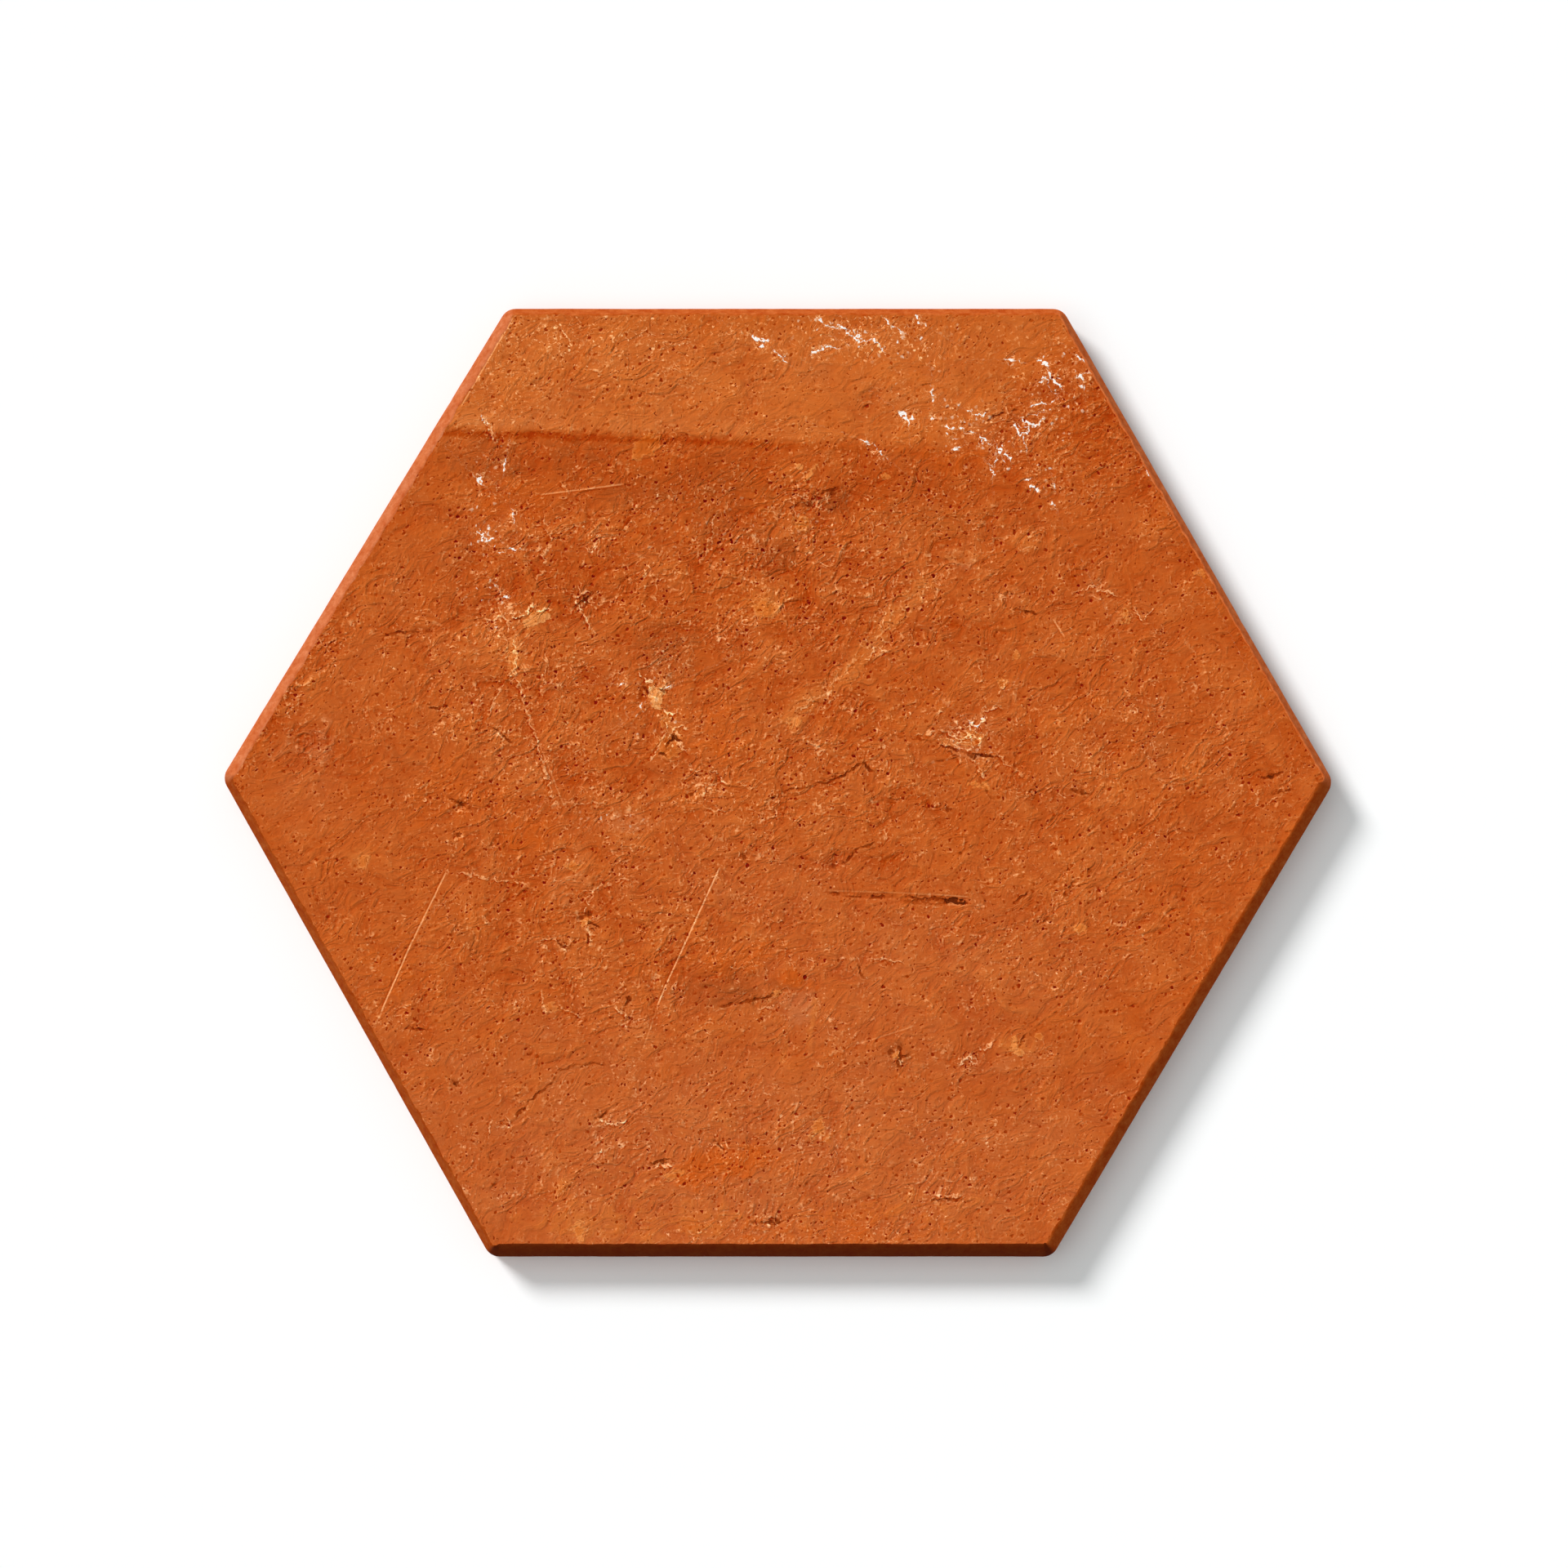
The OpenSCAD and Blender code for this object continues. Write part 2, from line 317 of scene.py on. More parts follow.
# Cracks and crevices darkened with painted shade, each with a painted highlight below it where its
# lower wall would catch the light.
CRACKS = lines(
    (1.0, -82.5, 30.4, -78, 31.2), (0.45, -78, 31.2, -73, 31), (0.6, -2.5, -4.5, 3, -2.2, 10, -0.8),
    (1.0, 10, -0.8, 14, 1, 18, 3.5, 19.5, 2), (0.4, 22, 9.5, 33, 8),
    (0.8, 34.4, 7.1, 38, 6, 40.6, 5.2), (1.2, 41.2, 4.6, 41.6, 5.2, 45.6, 4.8),
    (0.6, 45.6, 4.8, 48, 3.5), (0.6, 34, 3.8, 37.5, 4.6), (0.4, 42.6, -0.6, 45, -4),
    (0.6, 49.6, 5.4, 49.8, 2), (1.35, 34.6, -25.2, 39.3, -25.5), (1.35, 35.4, -25.8, 39.3, -25.9),
    (0.4, 27, -25.9, 35, -26.2), (0.7, 11.4, -24.1, 17, -24.7, 27, -25, 34, -25.2),
    (0.7, -55, 33.6, -52.6, 34.6), (0.9, -27.8, 19, -27.2, 18), (1.1, -24.8, 19.2, -23.6, 18.4),
    (1.2, -23.2, 7.2, -21.8, 9.2, -20.6, 8.2), (1.2, -24.5, 5.4, -23.8, 5), (0.6, 3, 57, 5, 59),
    (0.7, 8.4, 58.2, 9.6, 60.8, 12.5, 61.5), (0.5, 11, 56.8, 14, 58.6),
    (0.9, -43, 36, -40, 38.5, -38, 40), (0.8, 14, -17.5, 16.5, -14.8, 20, -13.5),
    (0.8, 38.5, -15.5, 40.5, -14), (0.9, 50.3, 35.8, 54, 35), (0.9, 50.3, -25.5, 52, -24),
    (0.8, 60.2, -24.2, 61.8, -21.8), (0.7, 64.9, -20.2, 66.2, -18.3), (0.9, 62.2, -2.4, 65, -3),
    (0.9, 102, 0.2, 105.5, 1.2), (0.8, 104.3, -2.9, 107.8, -2.2), (0.8, 53.8, -30.8, 57.5, -29),
    (0.8, -46, -34.4, -44, -35.8, -42.5, -34), (0.9, -31.8, -47.2, -30.8, -45.6),
    (0.7, -32, -52.2, -28.8, -52.4), (0.7, -54.5, -70.5, -51.5, -67, -47.5, -64, -46.5, -62.5),
    (0.45, -45.5, -61, -40, -59.6, -35.5, -60), (0.9, -69, -62.6, -66.4, -64.6),
    (0.9, -77.5, -52.2, -74, -52.7), (1.0, -37.6, -71, -36, -70), (0.9, -26.4, -80.5, -23.2, -79.7),
    (0.9, -12.8, -76.3, -11.5, -77.4), (0.5, -12, -47.6, -7, -46.8, -5, -46.4),
    (1.0, -5, -46.4, -2.6, -45.8, -1.2, -45.2), (0.9, 25.8, -56.2, 25.6, -58.4, 27.2, -58),
    (0.8, 25.2, -59.2, 25.4, -61), (0.9, -39.6, -28.2, -39.6, -30.2, -37.8, -31),
    (0.8, -39.8, -31.4, -39.8, -36), (1.0, 51.6, -54, 50.8, -55.6), (0.8, 17, -39.6, 17.8, -41.5),
    (0.8, -5, -92.8, 0, -93, 2.5, -91.8), (0.8, 32.5, -88.2, 38.5, -88), (0.8, 44, 76, 50, 78.2),
    (0.8, -73, 14.8, -69, 15.6), (0.8, -60, 10.8, -56, 8), (0.8, -68.6, -4.2, -64.5, -6),
)
GOUGES = rows(
    Gouge,
    (-39.6, -28.4, 0.8, 0.6), (-41.4, -29.2, 0.9, 0.5), (-22, 8.6, 0.9, 0.6),
    (-66.4, -5.3, 1.1, 0.5), (-67, -11.6, 0.9, 0.5), (25.5, -56.4, 0.8, 0.6),
    (23.6, -57.2, 0.9, 0.5), (11.8, -18.2, 0.9, 0.5), (63.9, -2.6, 0.9, 0.5),
    (35.6, -6.2, 0.9, 0.3), (52.2, 35.4, 0.9, 0.5), (-40.2, 37.4, 0.9, 0.5), (-7, -16.3, 0.8, 0.5),
    (-18.2, -3.2, 0.8, 0.5), (-36.8, -70.6, 0.8, 0.5), (-24, -80.2, 0.8, 0.6),
    (-67.2, -63.8, 0.8, 0.5), (-31.2, -46.4, 0.8, 0.5), (6.6, 58.2, 0.9, 0.5),
    (11.5, 60.4, 0.9, 0.5), (0, -92.6, 0.9, 0.5), (-12.2, -77, 0.7, 0.5), (103.6, 0.6, 0.9, 0.5),
)
GROOVES = (
    Groove(((10.7, -23.9), (27, -24.8), (39.6, -25.5)), 0.6, 0.4),
)


def length(name, description, value):
    """A length setting in metres."""
    return FloatProperty(name=name, description=description, default=value, unit="LENGTH")


def angle(name, description, degrees):
    """An angle setting, from its value in degrees."""
    return FloatProperty(
        name=name, description=description, default=math.radians(degrees), subtype="ANGLE"
    )


def amount(name, description, value):
    """A setting with no unit."""
    return FloatProperty(name=name, description=description, default=value)


def colour(name, description, value):
    """A colour setting in linear light."""
    return FloatVectorProperty(
        name=name, description=description, default=value, subtype="COLOR", min=0, max=1
    )


class TileShape(bpy.types.PropertyGroup):
    """Sizes of the tile and of its relief."""

    across_corners: length(
        "Across corners", "Distance between the left and the right corner, before rounding", 0.234
    )
    flat_side: length(
        "Flat side", "Length of the near and of the far flat side, before rounding", 0.1176
    )
    rack: length(
        "Rack",
        "How far the far side sits to the right of centre, and the near one to the left",
        0.0014,
    )
    corner_drop: length(
        "Corner drop", "How far the right corner sits below the centre line", 0.0005
    )
    corner_radius: length("Corner radius", "Radius of the six upright corners", 0.0034)
    bevel_width: length(
        "Bevel width", "Width of the bevel round the wearing face, seen from above", 0.002
    )
    bevel_depth: length("Bevel depth", "Depth of that bevel down the side", 0.0024)
    back_easing: length("Back easing", "Width and depth of the eased edge round the back", 0.0008)
    arris_radius: length(
        "Arris radius", "Softening of the sharp lines where two surfaces meet", 0.00035
    )
    face_rings: IntProperty(
        name="Face rings",
        description="Rings of triangles from the centre of the face to its edge",
        default=148,
    )
    back_rings: IntProperty(
        name="Back rings",
        description="Rings of triangles from the centre of the back to its edge",
        default=55,
    )
    waviness: length(
        "Waviness", "Height of the slow waves that the hand press left in the face", 0.0003
    )
    float_marks: length(
        "Float marks", "Depth of the strokes that the float left in the face", 0.00007
    )
    ledge: length("Ledge", "Step down from the smooth far band of the face to the rest", 0.00024)
    edge_wear: length(
        "Edge wear", "Most that the edges are worn back from their true line", 0.00006
    )


class ClayFinish(bpy.types.PropertyGroup):
    """Colours of the clay."""

    red_clay: colour("Red clay", "The deeper of the two main clays", (0.396, 0.0445, 0.0004))
    orange_clay: colour("Orange clay", "The paler of the two main clays", (0.592, 0.137, 0.0225))
    ochre: colour("Ochre", "Yellow clay of the far band and the patches", (0.60, 0.145, 0.023))
    umber: colour("Umber", "Dark patches", (0.25, 0.038, 0.005))
    # Painted shade: the dark put into pits, cracks and gouges, where shade falls in them.
    pit_shade: colour("Pit", "The insides of pits and cracks", (0.125, 0.016, 0.0006))
    rust: colour("Rust", "Bright red-orange patches", (0.545, 0.083, 0.004))
    ash: colour("Ash", "Pale pinkish patches", (0.58, 0.182, 0.060))
    # Painted light: the upper right and far bevels made paler, as if more brightly lit.
    painted_light_edge: colour("Pale edge", "Clay of the upper right and far bevels", (0.80, 0.21, 0.062))
    flake: colour("Flake", "Thin flakes of yellow clay", (0.80, 0.29, 0.075))
    amber: colour("Amber", "The fainter flakes", (0.73, 0.19, 0.022))
    lime: colour("Lime", "White lime bloom", (0.97, 0.91, 0.86))
    bevel: colour("Bevel", "The deeper clay of the bevel and sides", (0.42, 0.062, 0.003))
    bevel_light: colour("Pale bevel", "The paler clay of the bevel and sides", (0.56, 0.106, 0.011))
    # Painted highlight: the pale sheen of the lit upper left bevel.
    dust: colour("Dust", "Pale dust on the worn edges", (0.68, 0.35, 0.20))
    # Painted shade: the dark of the bevels turned away from the key light.
    burned: colour("Burned", "Dark clay of the near bevels", (0.10, 0.0115, 0.0001))
    pit_spacing: length("Pit spacing", "Distance between neighbouring pits in the clay", 0.0018)
    pit_radius: length("Pit radius", "Radius of the larger pits in the clay", 0.00042)


class StudioStage(bpy.types.PropertyGroup):
    """The floor, the light and the camera."""

    floor_size: length("Floor size", "Length of a side of the floor", 40.0)
    floor_colour: colour("Floor", "Colour of the floor in the light", (0.905, 0.90, 0.90))
    floor_glow: amount(
        "Floor glow", "What the floor adds to its own colour, seen by the camera", 0.09
    )
    sky_strength: amount("Sky strength", "Strength of the even light from all round", 0.23)
    fill_strength: amount("Fill strength", "Strength of the broad fill light overhead", 0.83)
    fill_height: angle("Fill height", "Angle of the fill light above the floor", 74)
    fill_heading: angle(
        "Fill heading",
        "Direction that the fill light comes from, anticlockwise from the X axis",
        180,
    )
    fill_softness: angle("Fill softness", "Angle that the fill light spans", 54)
    key_strength: amount("Key strength", "Strength of the key light", 2.65)
    key_height: angle("Key height", "Angle of the key light above the floor", 40.9)
    key_heading: angle(
        "Key heading", "Direction that the key light comes from, anticlockwise from the X axis", 136
    )
    key_softness: angle("Key softness", "Angle that the key light spans", 17)
    camera_height: angle("Camera height", "Angle of the camera above the floor", 86)
    camera_distance: length(
        "Camera distance", "Distance from the camera to the face of the tile", 1.2346
    )
    camera_lens: FloatProperty(
        name="Lens",
        description="Focal length of the camera",
        default=135.0,
        unit="CAMERA",
    )
    aim: FloatVectorProperty(
        name="Aim",
        description="Point on the face that the camera looks at",
        default=(0.00129, -0.00102, TILE_HIGH[2]),
        subtype="TRANSLATION",
        unit="LENGTH",
    )


# ---------------------------------------------------------------------------------------------
# Outline and mesh


class Outline:
    """The racked hexagon with rounded corners, as anchors and outward directions.

    A point of the outline drawn in by some inset is anchor + outward * (radius - inset), so all
    outlines round the tile have matching points.
    """

    def __init__(self, shape, steps):
        self.radius = shape.corner_radius / MM
        self.arc = ARC_STEPS / steps
        across_flats = (TILE_HIGH[1] - TILE_LOW[1]) / MM
        across_corners = shape.across_corners / MM
        flat_side = shape.flat_side / MM
        rack = shape.rack / MM
        drop = shape.corner_drop / MM
        half = [
            (flat_side / 2 - rack, -across_flats / 2),
            (across_corners / 2, -drop),
            (flat_side / 2 + rack, across_flats / 2),
        ]
        corners = np.array(half + [(-x, -y) for x, y in half])
        sides = np.roll(corners, -1, axis=0) - corners
        self.facing = np.unwrap(np.arctan2(-sides[:, 0], sides[:, 1]))
        self.pivots = np.array([self._pivot(corners, k) for k in range(6)])

    def _pivot(self, corners, k):
        """The centre of the arc that rounds corner k."""
        normals = [self._direction(self.facing[k - 1]), self._direction(self.facing[k])]
        reach = [corners[k] @ normal - self.radius for normal in normals]
        return np.linalg.solve(np.array(normals), np.array(reach))

    @staticmethod
    def _direction(angle):
        return np.stack([np.cos(angle), np.sin(angle)], axis=-1)

    def at(self, side, along):
        """Anchors and outward directions on one side, for along from 0 to 1.

        A side runs from the middle of one corner's arc to the middle of the next one's.
        """
        here = self.facing[side]
        before = self.facing[side - 1] - (2 * math.pi if side == 0 else 0)
        after = self.facing[(side + 1) % 6] + (2 * math.pi if side == 5 else 0)
        arc = self.arc
        near = np.clip((arc - along) / arc, 0, 1)
        far = np.clip((along - 1 + arc) / arc, 0, 1)
        angle = here + near * (before - here) / 2 + far * (after - here) / 2
        straight = np.clip((along - arc) / (1 - 2 * arc), 0, 1)[:, None]
        anchor = self.pivots[side] * (1 - straight) + self.pivots[(side + 1) % 6] * straight
        return anchor, self._direction(angle)

    def ring(self, steps):
        """Anchors and outward directions all round, with the same steps on each side."""
        along = np.arange(steps) / steps
        parts = [self.at(side, along) for side in range(6)]
        return np.concatenate([p[0] for p in parts]), np.concatenate([p[1] for p in parts])


class Sheet:
    """A flat hexagonal sheet of triangles: rings of points about the centre."""

    def __init__(self, outline, rings, inset):
        points = [np.zeros((1, 2))]
        outward = [np.zeros((1, 2))]
        reach = [np.zeros(1)]
        for ring in range(1, rings + 1):
            anchor, direction = outline.ring(ring)
            edge = anchor + direction * (outline.radius - inset)
            points.append(edge * ring / rings)
            outward.append(direction)
            reach.append(np.full(6 * ring, ring / rings))
        self.points = np.concatenate(points)
        self.outward = np.concatenate(outward)
        self.reach = np.concatenate(reach)
        self.rim = np.arange(len(self.points) - 6 * rings, len(self.points))
        self.triangles = np.concatenate([self._band(ring) for ring in range(1, rings + 1)])

    @staticmethod
    def _band(ring):
        """The triangles between one ring and the ring inside it, anticlockwise from above."""
        outer_start = 1 + 3 * ring * (ring - 1)
        inner_start = 1 + 3 * (ring - 1) * (ring - 2) if ring > 1 else 0
        outer_count = 6 * ring
        inner_count = max(6 * (ring - 1), 1)
        side = np.repeat(np.arange(6), ring)
        step = np.tile(np.arange(ring), 6)
        outer = outer_start + side * ring + step
        following = outer_start + (side * ring + step + 1) % outer_count
        inner = inner_start + (side * (ring - 1) + step) % inner_count
        outward = np.stack([outer, following, inner], axis=1)
        whole = step < ring - 1
        inner_next = inner_start + (side * (ring - 1) + step + 1) % inner_count
        inward = np.stack([following, inner_next, inner], axis=1)[whole]
        return np.concatenate([outward, inward])


def stitched(coarse, fine):
    """Triangles that join a coarse ring of points to a fine one with the same start."""
    faces = []
    a = b = 0
    while a < len(coarse) or b < len(fine):
        here = coarse[a % len(coarse)]
        there = fine[b % len(fine)]
        if b * len(coarse) <= a * len(fine) and b < len(fine):
            faces.append((here, fine[(b + 1) % len(fine)], there))
            b += 1
        else:
            faces.append((here, coarse[(a + 1) % len(coarse)], there))
            a += 1
    return faces


def rim_profile(shape):
    """Insets and heights of the rings from the edge of the face down to the edge of the back."""
    bevel_width = shape.bevel_width / MM
    easing = shape.back_easing / MM
    arris = shape.arris_radius / MM
    corners = [
        (bevel_width + 2 * arris, THICKNESS),
        (bevel_width, THICKNESS),
        (0, THICKNESS - shape.bevel_depth / MM),
        (0, easing),
        (easing, 0),
        (easing + 2 * arris, 0),
    ]
    profile = [corners[0]]
    for before, corner, after in zip(corners, corners[1:], corners[2:]):
        profile += filleted(before, corner, after, arris)
    profile.append(corners[-1])
    return with_steps(profile, longest=1.0)


def filleted(before, corner, after, length, steps=3):
    """A corner of a profile, cut back by length on both sides and rounded."""
    corner = np.array(corner, dtype=float)
    start = np.array(before) - corner
    end = np.array(after) - corner
    start = corner + start * length / np.linalg.norm(start)
    end = corner + end * length / np.linalg.norm(end)
    path = []
    for t in np.linspace(0, 1, steps + 1):
        path.append(tuple(start * (1 - t) ** 2 + corner * 2 * t * (1 - t) + end * t**2))
    return path


def with_steps(profile, longest):
    """The profile with its long stretches cut into equal steps."""
    path = [profile[0]]
    for point in profile[1:]:
        gap = math.dist(path[-1], point)
        count = max(1, round(gap / longest))
        start = np.array(path[-1])
        for k in range(1, count + 1):
            path.append(tuple(start + (np.array(point) - start) * k / count))
    return path


# ---------------------------------------------------------------------------------------------
# Relief and marks


def noise(x, y, size, seed):
    """Smooth random hills from about -1 to 1, with a spacing of about size."""
    random = np.random.default_rng(seed)
    order = random.permutation(256)
    turn = random.uniform(0, 2 * math.pi, 256)
    u, v = x / size, y / size
    column, row = np.floor(u).astype(int), np.floor(v).astype(int)
    u, v = u - column, v - row

    def slope(right, up):
        angle = turn[order[(order[(column + right) & 255] + row + up) & 255]]
        return np.cos(angle) * (u - right) + np.sin(angle) * (v - up)

    blend_u = u**3 * (u * (u * 6 - 15) + 10)
    blend_v = v**3 * (v * (v * 6 - 15) + 10)
    low = slope(0, 0) * (1 - blend_u) + slope(1, 0) * blend_u
    high = slope(0, 1) * (1 - blend_u) + slope(1, 1) * blend_u
    return 1.6 * (low * (1 - blend_v) + high * blend_v)


def layered(x, y, size, seed, layers, fade=0.5):
    """Noise with finer and weaker noise on top of it."""
    total = np.zeros_like(x)
    for k in range(layers):
        total += fade**k * noise(x, y, size / 2**k, seed + k)
    return total


def smooth(value, low, high):
    """0 below low, 1 above high and a smooth ramp between."""
    t = np.clip((value - low) / (high - low), 0, 1)
    return t * t * (3 - 2 * t)


def band_edge(x, y):
    """How far past the ledge each point lies, positive on the smooth far band."""
    slanted = LEDGE_Y - 0.037 * x
    sagging = 0.0003 * (x + 20) ** 2 + 0.25 * smooth(x, -46.5, -45)
    wobble = 0.35 * layered(x, 0 * x, 9, 70, 3)
    # On the right the band runs out, so its end swings off the tile.
    gone = 26 * smooth(x, 34, 66)
    return y - (slanted - sagging) - wobble - gone


def path_distance(x, y, path):
    """Distance to a line through the points of path."""
    nearest = np.full_like(x, np.inf)
    for (x0, y0), (x1, y1) in zip(path, path[1:]):
        dx, dy = x1 - x0, y1 - y0
        t = np.clip(((x - x0) * dx + (y - y0) * dy) / (dx * dx + dy * dy), 0, 1)
        nearest = np.minimum(nearest, np.hypot(x - x0 - t * dx, y - y0 - t * dy))
    return nearest


def ledge_strength(x):
    """How clear the ledge is along its length: sharp on the left, gone on the right."""
    return 1 - 0.25 * smooth(x, -46, -40) - 0.35 * smooth(x, -12, 6) - 0.4 * smooth(x, 12, 44)


def oval_reach(x, y, patch):
    """How far out in a patch each point lies: 0 in its middle and 1 on its oval outline."""
    turn = math.radians(patch.turn)
    along = (x - patch.x) * math.cos(turn) + (y - patch.y) * math.sin(turn)
    across = (y - patch.y) * math.cos(turn) - (x - patch.x) * math.sin(turn)
    return np.hypot(along / (patch.length / 2), across / (patch.width / 2))


def patch_cover(x, y, patches, seed, ragged):
    """How strongly each point lies in any of the patches, with ragged edges."""
    cover = np.zeros_like(x)
    rough = ragged * layered(x, y, 7, seed, 3, 0.6)
    for patch in patches:
        reach = oval_reach(x, y, patch) + rough
        cover = np.maximum(cover, patch.strength * (1 - smooth(reach, 0.2, 1.5)))
    return cover


def facing(outward, heading):
    """1 on the side that faces the heading, in degrees from the X axis, and 0 on the next ones."""
    turn = math.radians(heading)
    return smooth(outward @ np.array([math.cos(turn), math.sin(turn)]), 0.52, 0.98)


def trail_cover(x, y, trails):
    """How strongly each point lies on any of the trails."""
    cover = np.zeros_like(x)
    for trail in trails:
        away = path_distance(x, y, trail.path)
        cover = np.maximum(cover, trail.strength * (1 - smooth(away, 0.3, 1.2 * trail.width)))
    return cover


def line_marks(x, y, lines, reach):
    """How far to one side of the nearest line each point lies, and how near it is, from 0 to 1.

    The distance is negative on the right of a line, so that it stays exact between the points of
    the mesh, and the nearness is 0 wherever it may jump.
    """
    side = np.full_like(x, reach)
    near = np.zeros_like(x)
    closest = np.full_like(x, np.inf)
    for line in lines:
        last = len(line.path) - 2
        for k, ((x0, y0), (x1, y1)) in enumerate(zip(line.path, line.path[1:])):
            length = math.hypot(x1 - x0, y1 - y0)
            along = ((x - x0) * (x1 - x0) + (y - y0) * (y1 - y0)) / length
            across = ((y - y0) * (x1 - x0) - (x - x0) * (y1 - y0)) / length
            before = np.maximum(-along, 0)
            after = np.maximum(along - length, 0)
            bend = (before if k > 0 else 0) + (after if k < last else 0)
            past_end = (before if k == 0 else 0) + (after if k == last else 0)
            away = np.hypot(across, before + after)
            here = away < closest
            closest[here] = away[here]
            side[here] = np.copysign(np.hypot(across, bend), across)[here]
            fade = (1 - smooth(away, 0.5 * reach, reach)) * (1 - smooth(past_end, 0, 0.8))
            near[here] = line.strength * fade[here]
    return side, near


def flake_marks(x, y):
    """How far outside the nearest flake each point lies, in millimetres, and how pale that is."""
    outside = np.full_like(x, FLAKE_REACH)
    pale = np.zeros_like(x)
    for flake in FLAKES:
        away = (oval_reach(x, y, flake) - 1) * min(flake.length, flake.width) / 2
        nearer = away < outside
        outside[nearer] = away[nearer]
        pale[nearer] = flake.strength
    return outside, pale


def gouge_away(x, y, gouge):
    """Distance from the middle of a gouge, in its radii."""
    return np.hypot(x - gouge.x, y - gouge.y) / gouge.radius


def gouge_cover(x, y):
    """How deep in a gouge each point lies, from 0 to 1."""
    cover = np.zeros_like(x)
    for gouge in GOUGES:
        cover = np.maximum(cover, np.exp(-gouge_away(x, y, gouge) ** 2))
    return cover


def face_relief(x, y, inset, shape):
    """Height of the face against its highest plane, in millimetres: never above 0."""
    # Slow waves, then the strokes of the float, which are longer than they are wide.
    waves = 0.5 * layered(x, y, 48, 10, 3, 0.45) - 0.5
    height = shape.waviness / MM * waves * smooth(inset, 2, 16)
    strokes = layered(x * 0.45 + y * 0.1, y, 7, 20, 4, 0.62) - 1
    height += shape.float_marks / MM * strokes * smooth(inset, 1.5, 5)
    # The face drops at the ledge and comes back up slowly in front of it.
    below = -band_edge(x, y)
    step = smooth(below, -0.9, 1.1) * (1 - smooth(below, 3, 30))
    height -= shape.ledge / MM * ledge_strength(x) * step
    for gouge in GOUGES:
        away = gouge_away(x, y, gouge) * (1 + 0.3 * noise(x, y, 1.6, 40))
        height -= gouge.depth * np.exp(-away**2)
    # Each groove has pushed up a low lip on its far side.
    for groove in GROOVES:
        away = path_distance(x, y, groove.path)
        height -= groove.depth * np.exp(-((away / groove.width) ** 2))
        lip = path_distance(x, y - 1.5 * groove.width, groove.path)
        height += 0.3 * groove.depth * np.exp(-((lip / groove.width) ** 2))
    return np.minimum(height, 0)


def edge_wear(x, y, z, shape):
    """How far the edges are worn back at each point, in millimetres: never negative."""
    u, v = x + 1.3 * z, y - 1.1 * z
    wear = 0.5 + 0.5 * layered(u, v, 13, 50, 3, 0.6)
    wear += 2 * smooth(noise(u, v, 4.5, 55), 0.6, 0.95)
    return shape.edge_wear / MM * np.clip(wear, 0, 3)


def by_side(outward, sides):
    """The value of the side that each point faces, fading out towards the corners."""
    return sum(value * facing(outward, heading) for heading, value in sides.items())


def flat_points(outline, profile, face, back, steps):
    """The points before wear: where they lie, how high, which way is out and how far in."""
    anchor, direction = outline.ring(steps)
    flat = [face.points]
    height = [np.full(len(face.points), THICKNESS)]
    outward = [face.outward]
    inset = [profile[0][0] + MIDDLE_INSET * (1 - face.reach)]
    for ring_inset, ring_height in profile[1:]:
        flat.append(anchor + direction * (outline.radius - ring_inset))
        height.append(np.full(len(anchor), ring_height))
        outward.append(direction)
        inset.append(np.full(len(anchor), ring_inset))
    flat.append(back.points)
    height.append(np.zeros(len(back.points)))
    outward.append(back.outward)
    inset.append(profile[-1][0] + SEAM + MIDDLE_INSET * (1 - back.reach))
    return [np.concatenate(parts) for parts in (flat, height, outward, inset)]


def worn_points(shape, flat, height, outward, inset):
    """The points with their wear and relief, in millimetres."""
    # The edges are worn back, and the bevel's upper line wanders and differs from side to side.
    wear = edge_wear(flat[:, 0], flat[:, 1], height, shape)
    arris = smooth(height, THICKNESS - ARRIS_DEPTH, THICKNESS)
    ragged = layered(flat[:, 0], flat[:, 1], 3.2, 70, 3, 0.75)
    ragged *= 0.22 * (1 - 0.6 * facing(outward, NEAR))
    wear += arris * (ragged + by_side(outward, BEVEL_LEAN))
    wear *= smooth(-inset, -6, -2)
    x, y = (flat - outward * wear[:, None]).T
    # The relief of the face fades out down the bevel, and the back is slightly rough.
    share = smooth(height, THICKNESS - shape.bevel_depth / MM - 0.5, THICKNESS)
    raised = height + share * face_relief(x, y, inset, shape)
    base = height < 0.01
    raised[base] = 0.06 + 0.05 * layered(x[base], y[base], 6, 60, 3, 0.6)
    return x, y, np.maximum(raised, 0) + TILE_LOW[2] / MM


def tile_faces(profile, face, back):
    """All faces of the tile, and the number of the material of each."""
    ring_size = len(face.rim)
    first = len(face.points)
    rings = [face.rim]
    for k in range(len(profile) - 1):
        rings.append(np.arange(first + k * ring_size, first + (k + 1) * ring_size))
    walls = []
    for upper, lower in zip(rings, rings[1:]):
        walls.append(np.stack([upper, lower, np.roll(lower, -1), np.roll(upper, -1)], axis=1))
    back_start = first + (len(profile) - 1) * ring_size
    back_faces = back.triangles[:, ::-1] + back_start
    seam = stitched(list(back.rim + back_start), list(rings[-1]))
    faces = face.triangles.tolist() + np.concatenate(walls).tolist() + seam + back_faces.tolist()
    slots = np.zeros(len(faces), dtype=np.int32)
    slots[len(face.triangles) + ring_size:] = EDGE_CLAY
    slots[len(face.triangles) + (len(profile) - BACK_RIM_RINGS) * ring_size:] = BACK_CLAY
    return faces, slots


